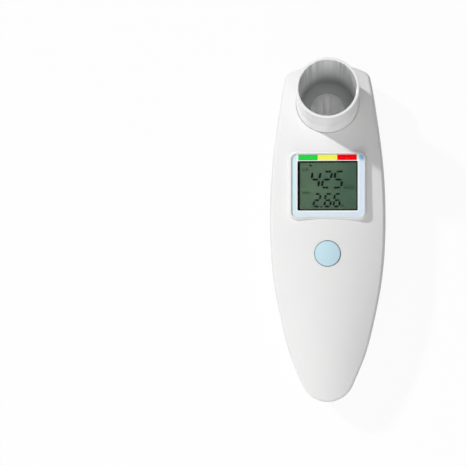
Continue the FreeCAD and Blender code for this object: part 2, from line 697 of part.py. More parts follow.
def mouthpiece_seal():
    """Flat-sided ring in the cup's groove, with a small lip that meets the spigot."""
    inner = SPIGOT_R + SEAL_GAP
    outer = CUP_BORE_R + SEAL_THICK
    low = -SEAL_DEPTH - SEAL_HEIGHT / 2
    high = -SEAL_DEPTH + SEAL_HEIGHT / 2
    third = SEAL_HEIGHT / 3
    back = inner + 0.2
    return on_tube(turned([(back, low), (outer, low), (outer, high), (back, high),
                           (inner, high - third), (inner, low + third)]))


def flow_screen():
    """Thin disc with square holes, open over the orifice and whole at its clamped edge."""
    top = -CUP_FLOOR_DEPTH - ORIFICE_LIP
    low = top - SCREEN_THICK
    disc = rod(OUTLET_R - FIT_GAP, 0, 0, low, top)
    half = (SCREEN_PITCH - SCREEN_BAR) / 2
    count = int(ORIFICE_R / SCREEN_PITCH)
    holes = []
    for i in range(-count, count + 1):
        for j in range(-count, count + 1):
            x = i * SCREEN_PITCH
            y = j * SCREEN_PITCH
            if math.hypot(abs(x) + half, abs(y) + half) < ORIFICE_R:
                holes.append(block(x - half, x + half, y - half, y + half, low - 1, top + 1))
    return on_tube(disc.cut(Part.makeCompound(holes)))


def screen_retainer():
    top = -CUP_FLOOR_DEPTH - ORIFICE_LIP - SCREEN_THICK
    low = top - RETAINER_HEIGHT
    outer = OUTLET_R - 0.02
    ring = turned([(ORIFICE_R, low), (outer, low), (outer, top), (ORIFICE_R, top)])
    tap = rod_along_y(NIPPLE_BORE_R, NIPPLE_X, -LOWER_TAP_DEPTH, -FAR, 0)
    return on_tube(ring.cut(tap))


def tube_gasket():
    top = -OUTLET_DEPTH
    low = top - GASKET_THICK
    outer = OUTLET_R + OUTLET_WALL
    return on_tube(turned([(OUTLET_R, low), (outer, low), (outer, top), (OUTLET_R, top)]))


def pressure_sensor():
    """Sensor body under the board with two ports towards the flow tube."""
    half = SENSOR_WIDTH / 2
    body = block(-half, half, SENSOR_Y, SENSOR_Y + SENSOR_LENGTH, BOARD_UNDER_Z - SENSOR_HEIGHT, BOARD_UNDER_Z)
    low = [e for e in body.Edges if e.BoundBox.ZMax < BOARD_UNDER_Z - SENSOR_HEIGHT + 0.01]
    body = body.makeChamfer(SENSOR_BEVEL, low)
    face_y = SENSOR_Y + SENSOR_LENGTH
    for side in (-1, 1):
        x = side * NIPPLE_X
        body = body.fuse(rod_along_y(NIPPLE_R, x, PORT_Z, face_y - 1, face_y + PORT_LENGTH))
        body = body.cut(rod_along_y(NIPPLE_BORE_R, x, PORT_Z, face_y - 1, face_y + PORT_LENGTH + 1))
    return body.removeSplitter()


def bent_tube(points, bend_r, outer_r, inner_r):
    """A hose along straight runs joined by tangent arcs."""
    edges = []
    start = points[0]
    for before, corner, after in zip(points, points[1:], points[2:]):
        back = (before - corner).normalize()
        ahead = (after - corner).normalize()
        turn = math.pi - back.getAngle(ahead)
        cut = bend_r * math.tan(turn / 2)
        first = corner + back * cut
        second = corner + ahead * cut
        middle = corner + (back + ahead).normalize() * (bend_r / math.cos(turn / 2) - bend_r)
        edges.append(Part.makeLine(start, first))
        edges.append(Part.Arc(first, middle, second).toShape())
        start = second
    edges.append(Part.makeLine(start, points[-1]))
    path = Part.Wire(edges)
    heading = points[1] - points[0]
    tubes = []
    for r in (outer_r, inner_r):
        ring = Part.Wire(Part.makeCircle(r, points[0], heading))
        tubes.append(path.makePipeShell([ring], True, False))
    return tubes[0].cut(tubes[1])


def tap_point(depth, x, distance):
    """A point on a pressure tap's axis, at a distance in front of the tube's axis."""
    return Vector(x, TUBE_Y - SIN_TILT * depth - COS_TILT * distance,
                  TUBE_Z - COS_TILT * depth + SIN_TILT * distance)


def pressure_hoses():
    tip = math.sqrt(CUP_R ** 2 - NIPPLE_X ** 2) + NIPPLE_LENGTH
    port_y = SENSOR_Y + SENSOR_LENGTH + PORT_LENGTH
    hoses = []
    for side, depth in ((-1, UPPER_TAP_DEPTH), (1, LOWER_TAP_DEPTH)):
        x = side * NIPPLE_X
        start = tap_point(depth, x, tip - HOSE_GRIP)
        last = Vector(x, port_y - HOSE_GRIP, PORT_Z)
        level = tap_point(depth, x, tip + HOSE_STRAIGHT)
        rise = PORT_Z - level.z
        if rise > HOSE_R:
            turn_in = Vector(x, level.y - rise * 0.75, PORT_Z)
            route = [start, level, turn_in, last]
        else:
            reach = tip + HOSE_STRAIGHT + rise / SIN_TILT
            route = [start, tap_point(depth, x, reach), last]
        hoses.append(bent_tube(route, HOSE_BEND_R, HOSE_R, NIPPLE_R + SEAL_GAP))
    return Part.makeCompound(hoses)


def display_window():
    plate = rounded_plate(LENS_WIDTH, LENS_HEIGHT, LENS_CORNER_R, LENS_Y, MASK_Z, LENS_Z)
    edges = [e for e in plate.Edges if e.BoundBox.ZMin > LENS_Z - 0.01]
    return plate.makeChamfer(LENS_BEVEL, edges)


def zone_box(index, extra=0.0):
    """One of the three colour bars over the read-out, from the left."""
    width = ZONE_WIDTH / 3
    x = -ZONE_WIDTH / 2 + index * width
    y1 = LENS_TOP_Y - ZONE_FROM_TOP
    return block(x, x + width, y1 - ZONE_HEIGHT, y1, MASK_Z - ZONE_THICK, MASK_Z + extra)


def window_mask():
    """Frame behind the window, with a shallow seat for the colour bars."""
    mask = rounded_plate(LENS_WIDTH, LENS_HEIGHT, LENS_CORNER_R, LENS_Y, LEDGE_Z, MASK_Z)
    opening = rounded_plate(WINDOW_WIDTH, WINDOW_HEIGHT, WINDOW_CORNER_R, WINDOW_Y, LEDGE_Z - 1, MASK_Z + 1)
    mask = mask.cut(opening)
    for index in range(3):
        mask = mask.cut(zone_box(index, 1.0))
    return mask


def window_gasket():
    frame = rounded_plate(LCD_WIDTH, LCD_HEIGHT, WINDOW_CORNER_R, WINDOW_Y, LCD_Z, LEDGE_Z)
    opening = rounded_plate(WINDOW_WIDTH, WINDOW_HEIGHT, WINDOW_CORNER_R, WINDOW_Y, LCD_Z - 1, LEDGE_Z + 1)
    return frame.cut(opening)


def lcd_glass():
    """Two glass plates, the rear one longer so that its contact edges show behind."""
    half = LCD_THICK / 2
    front = block(-LCD_WIDTH / 2, LCD_WIDTH / 2, WINDOW_Y - LCD_HEIGHT / 2, WINDOW_Y + LCD_HEIGHT / 2,
                  LCD_Z - LCD_THICK, LCD_Z)
    low = WINDOW_Y - LCD_HEIGHT / 2
    step = block(-FAR, FAR, low, low + LCD_STEP, LCD_Z - half, LCD_Z + 1)
    return front.cut(step)


def lcd_holder():
    """Open frame on the board: walls round the read-out, and a ledge under its edge."""
    top = LCD_Z - HOLDER_GRIP
    ledge_z = LCD_Z - LCD_THICK
    frame = rounded_plate(HOLDER_WIDTH, HOLDER_HEIGHT, HOLDER_CORNER_R, WINDOW_Y, BOARD_Z, top)
    pocket = rounded_plate(LCD_WIDTH + 2 * LCD_GAP, LCD_HEIGHT + 2 * LCD_GAP, 0.3, WINDOW_Y, ledge_z, top + 1)
    inner = rounded_plate(LCD_WIDTH - 2 * HOLDER_LEDGE, LCD_HEIGHT - 2 * HOLDER_LEDGE, 0.3, WINDOW_Y,
                          BOARD_Z - 1, top + 1)
    return frame.cut(pocket).cut(inner)


def zebra_strips():
    """Two soft strips inside the holder that join the read-out to the board."""
    half = LCD_WIDTH / 2 - HOLDER_LEDGE - FIT_GAP
    reach = LCD_HEIGHT / 2 - HOLDER_LEDGE - FIT_GAP
    top = LCD_Z - LCD_THICK
    strips = []
    for side in (-1, 1):
        y0 = WINDOW_Y + side * reach
        y1 = y0 - side * ZEBRA_WIDTH
        strips.append(block(-half, half, min(y0, y1), max(y0, y1), BOARD_Z, top))
    return Part.makeCompound(strips)


def circuit_board():
    y = BOARD_TOP_Y - BOARD_LENGTH / 2
    board = rounded_plate(BOARD_WIDTH, BOARD_LENGTH, BOARD_CORNER_R, y, BOARD_UNDER_Z, BOARD_Z)
    for x, hole_y in mirrored(BOARD_SCREWS):
        board = board.cut(rod(SMALL_SCREW_R + HOLE_GAP, x, hole_y, BOARD_UNDER_Z - 1, BOARD_Z + 1))
    return board


def board_chips():
    """The processor and four smaller packages on the underside of the board."""
    chips = []
    for x, from_sensor, width, length in CHIPS:
        y = SENSOR_Y + from_sensor
        chip = block(x - width / 2, x + width / 2, y - length / 2, y + length / 2,
                     BOARD_UNDER_Z - CHIP_HEIGHT, BOARD_UNDER_Z)
        low = [e for e in chip.Edges if e.BoundBox.ZMax < BOARD_UNDER_Z - CHIP_HEIGHT + 0.01]
        chips.append(chip.makeChamfer(CHIP_BEVEL, low))
    return Part.makeCompound(chips)


def buzzer():
    y = SENSOR_Y + BUZZER_FROM_SENSOR
    low = BOARD_UNDER_Z - BUZZER_HEIGHT
    body = rod(BUZZER_R, BUZZER_X, y, low, BOARD_UNDER_Z)
    return body.cut(rod(BUZZER_HOLE_R, BUZZER_X, y, low - 1, low + 1))


def switch_top_z():
    return BOARD_Z + SWITCH_HEIGHT


def tact_switch():
    half = SWITCH_SIZE / 2
    top = switch_top_z()
    body = block(-half, half, BUTTON_Y - half, BUTTON_Y + half, BOARD_Z, top)
    upright = [e for e in body.Edges if e.BoundBox.ZLength > SWITCH_HEIGHT - 0.01]
    body = body.makeChamfer(SWITCH_BEVEL, upright)
    bore = rod(PLUNGER_R + 0.05, 0, BUTTON_Y, top - PLUNGER_SUNK - BUTTON_TRAVEL - 0.2, top + 1)
    return body.cut(bore)


def switch_plunger():
    top = switch_top_z()
    return rod(PLUNGER_R, 0, BUTTON_Y, top - PLUNGER_SUNK, top + PLUNGER_RISE)


def power_button():
    """Domed cap, a flange behind the front wall and a stem down to the switch."""
    flange_top = FRONT_Z - WALL - BUTTON_FLANGE_GAP
    flange_low = flange_top - BUTTON_FLANGE_THICK
    stem_low = switch_top_z() + PLUNGER_RISE
    edge = FRONT_Z + BUTTON_PROUD - BUTTON_DOME
    flange_r = BUTTON_R + BUTTON_FLANGE
    soft = BUTTON_EDGE_R
    profile = [Vector(0, 0, stem_low), Vector(PLUNGER_R, 0, stem_low), Vector(PLUNGER_R, 0, flange_low),
               Vector(flange_r, 0, flange_low), Vector(flange_r, 0, flange_top),
               Vector(BUTTON_R, 0, flange_top), Vector(BUTTON_R, 0, edge - soft)]
    edges = [Part.makeLine(a, b) for a, b in zip(profile, profile[1:])]
    crest = Vector(BUTTON_R - soft, 0, edge)
    bend = Vector(BUTTON_R - soft * 0.293, 0, edge - soft * 0.293)
    top = Vector(0, 0, FRONT_Z + BUTTON_PROUD)
    dome_r = (crest.x ** 2 + BUTTON_DOME ** 2) / (2 * BUTTON_DOME)
    half = crest.x / 2
    middle = Vector(half, 0, top.z - dome_r + math.sqrt(dome_r ** 2 - half ** 2))
    edges.append(Part.Arc(profile[-1], bend, crest).toShape())
    edges.append(Part.Arc(crest, middle, top).toShape())
    edges.append(Part.makeLine(top, profile[0]))
    button = Part.Face(Part.Wire(edges)).revolve(Vector(0, 0, 0), Vector(0, 0, 1), 360)
    button.translate(Vector(0, BUTTON_Y, 0))
    return button


def tray_inside():
    """Low and high y of the room between the tray's end walls."""
    high = TRAY_Y - TRAY_WALL
    return high - TRAY_INNER_LENGTH, high


def battery_tray():
    """Open-bottomed tray over the cells, with flanges for the cover and ears for its screws."""
    outer = TRAY_HALF + TRAY_WALL
    y0, y1 = tray_inside()
    end_z = CELL_Z - CELL_R + 1.4
    body = block(-outer, outer, TRAY_END_Y, TRAY_Y, TRAY_FOOT_Z, TRAY_TOP_Z)
    for low, high in ((TRAY_END_Y, y0), (y1, TRAY_Y)):
        body = body.fuse(block(-outer + 2, outer - 2, low, high, end_z, TRAY_TOP_Z))
    rail_high = SPLIT_Y - COVER_GAP - 6.0
    for side in (-1, 1):
        inner_x = side * (outer - 0.5)
        outer_x = side * FLANGE_X
        body = body.fuse(block(min(inner_x, outer_x), max(inner_x, outer_x), rail_high - RAIL_LENGTH, rail_high,
                               TRAY_FOOT_Z, TRAY_FOOT_Z + TRAY_FLANGE_THICK))
    body = body.cut(block(-TRAY_HALF, TRAY_HALF, y0, y1, 0, TRAY_UNDER_Z))
    divider = block(-DIVIDER_THICK / 2, DIVIDER_THICK / 2, y0 + DIVIDER_GAP, y1 - DIVIDER_GAP,
                    TRAY_UNDER_Z - DIVIDER_DEPTH, TRAY_UNDER_Z + TRAY_TOP / 2)
    body = body.fuse(divider)
    for x, y in mirrored(TRAY_SCREWS):
        ear_r = SMALL_HEAD_R + TRAY_EAR
        ear = rod(ear_r, x, y, TRAY_UNDER_Z, TRAY_TOP_Z)
        if x == 0:
            arm = block(-ear_r, ear_r, y, TRAY_END_Y + 0.5, TRAY_UNDER_Z, TRAY_TOP_Z)
        else:
            arm = block(min(x, math.copysign(outer, x) * 0.9), max(x, math.copysign(outer, x) * 0.9),
                        y - ear_r, y + ear_r, TRAY_UNDER_Z, TRAY_TOP_Z)
        body = body.fuse(ear).fuse(arm)
        body = body.cut(rod(SMALL_SCREW_R + HOLE_GAP, x, y, 0, TRAY_TOP_Z + 1))
    return body.removeSplitter()


def battery_runs():
    """For each cell: x, the contact face at its nub, and the direction the nub points."""
    y0, y1 = tray_inside()
    return [(-CELL_PITCH / 2, y1 - CONTACT_THICK, 1), (CELL_PITCH / 2, y0 + CONTACT_THICK, -1)]


def batteries():
    """Two cells side by side, turned opposite ways."""
    cells = []
    for x, nub_y, way in battery_runs():
        shoulder = nub_y - way * CELL_NUB
        base = shoulder - way * CELL_LENGTH
        cell = rod_along_y(CELL_R, x, CELL_Z, min(base, shoulder), max(base, shoulder))
        cell = cell.makeChamfer(CELL_BEVEL, [e for e in cell.Edges if e.BoundBox.YLength < 0.01])
        nub = rod_along_y(CELL_NUB_R, x, CELL_Z, min(nub_y, shoulder), max(nub_y, shoulder))
        cells.append(cell.fuse(nub).removeSplitter())
    return Part.makeCompound(cells)


def battery_springs():
    """One bent leaf spring behind the flat end of each cell."""
    springs = []
    for x, nub_y, way in battery_runs():
        base = nub_y - way * (CELL_NUB + CELL_LENGTH)
        foot = base - way * SPRING_ROOM
        low = CELL_Z - LEAF_HEIGHT / 2
        bend = CELL_Z + LEAF_HEIGHT / 2
        profile = [(foot, low), (foot, bend), (foot + way * LEAF_THICK, bend), (base, CELL_Z),
                   (foot + way * LEAF_THICK * 3, low), (foot + way * LEAF_THICK * 2, low),
                   (base - way * LEAF_THICK * 1.4, CELL_Z), (foot + way * LEAF_THICK, bend - LEAF_THICK * 2),
                   (foot + way * LEAF_THICK, low)]
        points = [Vector(x - LEAF_WIDTH / 2, y, z) for y, z in profile]
        leaf = Part.Face(Part.makePolygon(points + points[:1])).extrude(Vector(LEAF_WIDTH, 0, 0))
        springs.append(leaf)
    return Part.makeCompound(springs)


def battery_contacts():
    """Plates at both ends of the tray; the pair nearer the head reaches up to the board."""
    y0, y1 = tray_inside()
    low = CELL_Z - CELL_R + CONTACT_FOOT
    high = TRAY_UNDER_Z - CELL_ROOM
    half = CONTACT_HALF
    bridge = block(-CELL_PITCH / 2 - half, CELL_PITCH / 2 + half, y0, y0 + CONTACT_THICK, low, high)
    plates = [bridge]
    for side in (-1, 1):
        x = side * CELL_PITCH / 2
        plate = block(x - half, x + half, y1 - CONTACT_THICK, y1, low, high)
        plates.append(plate)
    return Part.makeCompound(plates)


def screw(x, y, face_z, head_r, head, shank_r, length):
    """A pan-head screw driven towards the front, its head under face_z."""
    top = rod(head_r, x, y, face_z - head, face_z)
    top = top.makeChamfer(head * 0.25, [e for e in top.Edges if e.BoundBox.ZMax < face_z - head + 0.01])
    cross = block(x - head_r * 0.6, x + head_r * 0.6, y - 0.25, y + 0.25, face_z - head - 1, face_z - head * 0.5)
    turned_cross = cross.copy()
    turned_cross.rotate(Vector(x, y, 0), Vector(0, 0, 1), 90)
    return top.fuse(rod(shank_r, x, y, face_z, face_z + length)).cut(cross).cut(turned_cross)


def housing_screws():
    reach = SCREW_LENGTH + WELL_WEB - 0.6
    return Part.makeCompound([screw(x, y, WELL_DEPTH, SCREW_HEAD_R, SCREW_HEAD, SCREW_R, reach)
                              for x, y in mirrored(HOUSING_SCREWS)])


def board_screws():
    reach = SMALL_LENGTH + BOARD_THICK - 0.4
    return Part.makeCompound([screw(x, y, BOARD_UNDER_Z, SMALL_HEAD_R, SMALL_HEAD, SMALL_SCREW_R, reach)
                              for x, y in mirrored(BOARD_SCREWS)])


def tray_screws():
    reach = SMALL_LENGTH + TRAY_TOP - 0.4
    return Part.makeCompound([screw(x, y, TRAY_UNDER_Z, SMALL_HEAD_R, SMALL_HEAD, SMALL_SCREW_R, reach)
                              for x, y in mirrored(TRAY_SCREWS)])


NODES = {
    "front_shell": front_shell,
    "rear_shell": rear_shell,
    "battery_cover": battery_cover,
    "mouthpiece": mouthpiece,
    "flow_tube": flow_tube,
    "mouthpiece_seal": mouthpiece_seal,
    "flow_screen": flow_screen,
    "screen_retainer": screen_retainer,
    "tube_gasket": tube_gasket,
    "pressure_sensor": pressure_sensor,
    "pressure_hoses": pressure_hoses,
    "display_window": display_window,
    "window_mask": window_mask,
    "zone_green": lambda: zone_box(0),
    "zone_yellow": lambda: zone_box(1),
    "zone_red": lambda: zone_box(2),
    "window_gasket": window_gasket,
    "lcd_glass": lcd_glass,
    "lcd_holder": lcd_holder,
    "zebra_strips": zebra_strips,
    "circuit_board": circuit_board,
    "board_chips": board_chips,
    "buzzer": buzzer,
    "tact_switch": tact_switch,
    "switch_plunger": switch_plunger,
    "power_button": power_button,
    "battery_tray": battery_tray,
    "batteries": batteries,
    "battery_springs": battery_springs,
    "battery_contacts": battery_contacts,
    "housing_screws": housing_screws,
    "board_screws": board_screws,
    "tray_screws": tray_screws,
}

os.makedirs("parts", exist_ok=True)
for node, make in NODES.items():
    shape = make()
    shape.exportStep("parts/" + node + ".step")
    solids = shape.Solids
    print(node, len(solids), "solids", round(shape.Volume, 1), "mm3", "valid" if shape.isValid() else "INVALID")
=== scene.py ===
import bpy
import math
from mathutils import Matrix, Vector


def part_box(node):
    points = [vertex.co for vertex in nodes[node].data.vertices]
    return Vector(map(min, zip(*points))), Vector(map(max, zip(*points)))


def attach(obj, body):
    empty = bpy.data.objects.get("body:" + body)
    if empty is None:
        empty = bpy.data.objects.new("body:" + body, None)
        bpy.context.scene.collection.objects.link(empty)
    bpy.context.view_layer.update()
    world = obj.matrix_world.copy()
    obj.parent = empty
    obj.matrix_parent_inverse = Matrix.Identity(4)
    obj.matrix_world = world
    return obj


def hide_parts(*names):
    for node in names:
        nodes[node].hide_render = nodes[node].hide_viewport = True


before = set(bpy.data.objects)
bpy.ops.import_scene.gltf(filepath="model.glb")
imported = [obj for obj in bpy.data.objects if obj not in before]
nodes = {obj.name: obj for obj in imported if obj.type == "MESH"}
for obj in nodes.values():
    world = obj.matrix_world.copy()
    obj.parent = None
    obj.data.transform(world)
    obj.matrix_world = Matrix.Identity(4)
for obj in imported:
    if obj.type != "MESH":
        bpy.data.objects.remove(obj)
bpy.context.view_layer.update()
scene = bpy.context.scene
mm = 0.001  # every length in the dictionaries is in millimetres


# Camera: high above the display, aimed left of it so that the meter stands right of the middle

camera = {"height": 527.0, "lens": 78.0, "aim": (-46.8, 0.0, 27.0), "nearest": 10.0, "farthest": 10000.0}


def placeCamera():
    cameraData = bpy.data.cameras.new("camera")
    cameraData.lens = camera["lens"]
    cameraData.clip_start = camera["nearest"] * mm
    cameraData.clip_end = camera["farthest"] * mm
    cameraObject = bpy.data.objects.new("camera", cameraData)
    scene.collection.objects.link(cameraObject)
    cameraObject.location = Vector((0.0, 0.0, camera["height"])) * mm
    back = (cameraObject.location - Vector(camera["aim"]) * mm).normalized()
    right = Vector((0.0, 1.0, 0.0)).cross(back).normalized()
    turn = Matrix((right, back.cross(right), back)).transposed()
    cameraObject.rotation_mode = "QUATERNION"
    cameraObject.rotation_quaternion = turn.to_quaternion()
    scene.camera = cameraObject


placeCamera()
print("camera placed")


# Lamps: a small low key from the upper left, a weak one overhead and a broad fill from beyond the tip

lamps = {
    "keyLight": {"turn": 142.0, "rise": 32.0, "distance": 4000.0,
                 "shape": "DISK", "size": 270.0, "power": 116.0},
    "overLight": {"turn": 90.0, "rise": 84.0, "distance": 1200.0,
                  "shape": "DISK", "size": 700.0, "power": 1.35},
    "fillLight": {"turn": 262.0, "rise": 32.0, "distance": 1100.0,
                  "shape": "SQUARE", "size": 900.0, "power": 4.8},
}


def placeLamps():
    for lampName, lamp in lamps.items():
        lampData = bpy.data.lights.new(lampName, "AREA")
        lampData.shape = lamp["shape"]
        lampData.size = lamp["size"] * mm
        lampData.energy = lamp["power"]
        lampObject = bpy.data.objects.new(lampName, lampData)
        scene.collection.objects.link(lampObject)
        turn, rise = math.radians(lamp["turn"]), math.radians(lamp["rise"])
        toward = Vector((math.cos(turn) * math.cos(rise), math.sin(turn) * math.cos(rise), math.sin(rise)))
        lampObject.location = toward * lamp["distance"] * mm
        lampObject.rotation_mode = "QUATERNION"
        lampObject.rotation_quaternion = lampObject.location.to_track_quat("Z", "Y")


scene.view_settings.view_transform = "Standard"
placeLamps()
print("lamps placed", len(lamps))


# Node helpers: inputs take a number, a colour or another node's socket

wholeNoise = (0.3, 0.7)  # the parts of a noise texture's values over which a look changes
middleNoise = (0.35, 0.65)
upperNoise = (0.35, 0.7)
waveTurns = 20.0  # radians that a wave texture turns over one unit of its scale


def addNode(tree, kind, inputs=None, **settings):
    made = tree.nodes.new(kind)
    for key, value in settings.items():
        setattr(made, key, value)
    for key, value in (inputs or {}).items():
        if isinstance(value, bpy.types.NodeSocket):
            tree.links.new(value, made.inputs[key])
        else:
            made.inputs[key].default_value = value
    return made


def rgba(colour):
    return (colour[0], colour[1], colour[2], 1.0)


def asColour(value):
    return value if isinstance(value, bpy.types.NodeSocket) else rgba(value)


def mixColour(tree, factor, first, second):
    inputs = {0: factor, 6: asColour(first), 7: asColour(second)}
    return addNode(tree, "ShaderNodeMix", inputs, data_type="RGBA").outputs[2]


def mixShader(tree, factor, first, second):
    return addNode(tree, "ShaderNodeMixShader", {0: factor, 1: first.outputs[0], 2: second.outputs[0]})


def remap(tree, value, span, low=0.0, high=1.0):
    inputs = {"Value": value, "From Min": span[0], "From Max": span[1], "To Min": low, "To Max": high}
    return addNode(tree, "ShaderNodeMapRange", inputs).outputs["Result"]


def calc(tree, operation, first, second=0.0):
    return addNode(tree, "ShaderNodeMath", {0: first, 1: second}, operation=operation).outputs[0]


def objectPlace(tree):
    return addNode(tree, "ShaderNodeTexCoord").outputs["Object"]


def split(tree, vector):
    return addNode(tree, "ShaderNodeSeparateXYZ", {0: vector}).outputs


def stretched(tree, place, scale, rotation=(0.0, 0.0, 0.0)):
    inputs = {"Vector": place, "Scale": scale, "Rotation": rotation}
    return addNode(tree, "ShaderNodeMapping", inputs).outputs["Vector"]


def flatDistance(tree, place, centreX=0.0, centreY=0.0):
    axes = split(tree, place)
    offX = calc(tree, "SUBTRACT", axes["X"], centreX)
    offY = calc(tree, "SUBTRACT", axes["Y"], centreY)
    squares = calc(tree, "ADD", calc(tree, "POWER", offX, 2.0), calc(tree, "POWER", offY, 2.0))
    return calc(tree, "SQRT", squares)


def noise(tree, size, detail, place):
    inputs = {"Vector": place, "Scale": 1.0 / (size * mm), "Detail": detail}
    return addNode(tree, "ShaderNodeTexNoise", inputs).outputs["Fac"]


def noiseAlong(tree, value, scale, detail):
    inputs = {"W": value, "Scale": scale, "Detail": detail}
    return addNode(tree, "ShaderNodeTexNoise", inputs, noise_dimensions="1D").outputs["Fac"]


def ripple(tree, pitch, place, direction):
    inputs = {"Vector": place, "Scale": 2 * math.pi / (pitch * mm) / waveTurns, "Distortion": 0.0}
    return addNode(tree, "ShaderNodeTexWave", inputs, bands_direction=direction).outputs["Fac"]


def bump(tree, height, depth, normal=None):
    inputs = {"Height": height, "Strength": 1.0, "Distance": depth * mm}
    if normal is not None:
        inputs["Normal"] = normal
    return addNode(tree, "ShaderNodeBump", inputs).outputs["Normal"]


def geometry(tree, output):
    return addNode(tree, "ShaderNodeNewGeometry").outputs[output]


def anyRay(tree, names):
    paths = addNode(tree, "ShaderNodeLightPath").outputs
    found = paths[names[0]]
    for name in names[1:]:
        found = calc(tree, "MAXIMUM", found, paths[name])
    return found


def emptyTree(owner):
    owner.use_nodes = True
    owner.node_tree.nodes.clear()
    return owner.node_tree


def finishTree(tree, surface, kind="ShaderNodeOutputMaterial"):
    output = addNode(tree, kind)
    tree.links.new(surface.outputs[0], output.inputs["Surface"])


def newFinish(name):
    material = bpy.data.materials.new(name)
    tree = emptyTree(material)
    return material, tree, addNode(tree, "ShaderNodeBsdfPrincipled")


def feed(tree, shader, **sockets):
    names = {"colour": "Base Color", "roughness": "Roughness", "normal": "Normal", "ior": "IOR",
             "metallic": "Metallic", "specular": "Specular IOR Level", "sheen": "Sheen Weight",
             "transmission": "Transmission Weight"}
    for key, value in sockets.items():
        socket = shader.inputs[names[key]]
        if isinstance(value, bpy.types.NodeSocket):
            tree.links.new(value, socket)
        else:
            socket.default_value = rgba(value) if key == "colour" else value


# Moulded plastic: fine spark-eroded grain, slow drift of tone, smudged gloss and rubbed edges, and on the
# button a painted shade ring

plasticBase = {"driftSize": 22.0, "drift": 0.5, "edges": (0.53, 0.60), "scuffSize": 1.6,
               "scuffs": (0.45, 0.62), "wear": 0.35, "wornGloss": 0.2, "smudgeSize": 6.0,
               "smudge": 0.04, "grainSize": 0.28, "grainDepth": 0.006, "waveSize": 14.0,
               "waveDepth": 0.03, "specular": 0.5}
plastics = {
    "housingWhite": {"colour": (0.885, 0.885, 0.88), "tint": (0.865, 0.867, 0.865),
                     "wornTint": (0.80, 0.80, 0.785), "roughness": 0.5, "grainSize": 0.3,
                     "grainDepth": 0.004, "specular": 0.12},
    "tubeGrey": {"colour": (0.55, 0.555, 0.56), "tint": (0.51, 0.515, 0.525), "roughness": 0.16,
                 "wornTint": (0.5, 0.5, 0.5), "grainDepth": 0.001, "waveDepth": 0.02, "specular": 0.6,
                 "smudge": 0.03},
    "zoneGreen": {"colour": (0.02, 0.69, 0.06), "tint": (0.03, 0.75, 0.08), "roughness": 0.35,
                  "grainDepth": 0.002, "waveDepth": 0.0, "specular": 0.03},
    "zoneYellow": {"colour": (1.0, 0.96, 0.11), "tint": (1.0, 0.98, 0.14), "roughness": 0.35,
                   "grainDepth": 0.002, "waveDepth": 0.0, "specular": 0.03},
    "zoneRed": {"colour": (0.97, 0.0, 0.002), "tint": (0.90, 0.0, 0.002), "roughness": 0.35,
                "grainDepth": 0.002, "waveDepth": 0.0, "specular": 0.03},
    # the power button gets a dark ring painted round its edge: painted shade of the gap round it
    "buttonBlue": {"colour": (0.57, 0.79, 0.89), "tint": (0.60, 0.81, 0.90), "roughness": 0.38,
                   "wornTint": (0.60, 0.81, 0.90), "wear": 0.2, "grainSize": 0.22, "grainDepth": 0.004,
                   "waveDepth": 0.005, "rim": (0.20, 0.33, 0.40), "rimOf": "power_button", "rimR": 6.4,
                   "rimWidth": 0.5},
    "chipBlack": {"colour": (0.022, 0.022, 0.024), "tint": (0.03, 0.03, 0.032), "roughness": 0.55,
                  "grainSize": 0.12, "grainDepth": 0.01, "wornTint": (0.12, 0.12, 0.12)},
    "holderWhite": {"colour": (0.74, 0.74, 0.71), "tint": (0.70, 0.70, 0.66), "roughness": 0.5,
                    "wornTint": (0.8, 0.8, 0.78), "grainSize": 0.2, "grainDepth": 0.008},
    "sensorBlack": {"colour": (0.035, 0.036, 0.04), "tint": (0.05, 0.05, 0.052), "roughness": 0.42,
                    "grainSize": 0.16, "grainDepth": 0.008, "wornTint": (0.16, 0.16, 0.16)},
}


# Painted shade: a dark ring round the edge of the named part, standing in for the shade in the gap round it
def paintGapShade(tree, place, colour, look):
    low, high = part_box(look["rimOf"])
    middle = (low + high) / 2
    reach = flatDistance(tree, place, middle.x, middle.y)
    rim = remap(tree, reach, ((look["rimR"] - look["rimWidth"]) * mm, look["rimR"] * mm))
    return mixColour(tree, rim, colour, look["rim"])


def mouldedPlastic(name, settings):
    look = {**plasticBase, "wornTint": settings["colour"], **settings}
    material, tree, shader = newFinish(name)
    place = objectPlace(tree)
    drift = remap(tree, noise(tree, look["driftSize"], 3.0, place), middleNoise, 0.0, look["drift"])
    toned = mixColour(tree, drift, look["colour"], look["tint"])
    edge = remap(tree, geometry(tree, "Pointiness"), look["edges"])
    scuff = remap(tree, noise(tree, look["scuffSize"], 4.0, place), look["scuffs"])
    worn = calc(tree, "MULTIPLY", calc(tree, "MULTIPLY", edge, scuff), look["wear"])
    colour = mixColour(tree, worn, toned, look["wornTint"])
    # painted shade ring round the button's edge
    if "rim" in look:
        colour = paintGapShade(tree, place, colour, look)
    rough, smudge = look["roughness"], look["smudge"]
    smudges = noise(tree, look["smudgeSize"], 4.0, place)
    roughness = remap(tree, smudges, wholeNoise, rough - smudge, rough + smudge)
    roughness = calc(tree, "SUBTRACT", roughness, calc(tree, "MULTIPLY", worn, look["wornGloss"]))
    wave = bump(tree, noise(tree, look["waveSize"], 1.0, place), look["waveDepth"])
    normal = bump(tree, noise(tree, look["grainSize"], 2.0, place), look["grainDepth"], wave)
    feed(tree, shader, colour=colour, roughness=roughness, normal=normal, specular=look["specular"])
    finishTree(tree, shader)
    return material


# Soft parts: dull, dusty, with a fine open surface

rubberBase = {"dustSize": 3.0, "dusts": (0.4, 0.75), "smudge": 0.08}
rubbers = {
    "sealRubber": {"colour": (0.30, 0.31, 0.33), "dustTint": (0.42, 0.43, 0.44), "dust": 0.5,
                   "roughness": 0.62, "poreSize": 0.25, "poreDepth": 0.01, "sheen": 0.1},
    "foamBlack": {"colour": (0.012, 0.012, 0.013), "dustTint": (0.05, 0.05, 0.05), "dust": 0.3,
                  "roughness": 0.85, "poreSize": 0.35, "poreDepth": 0.06, "sheen": 0.15},
}


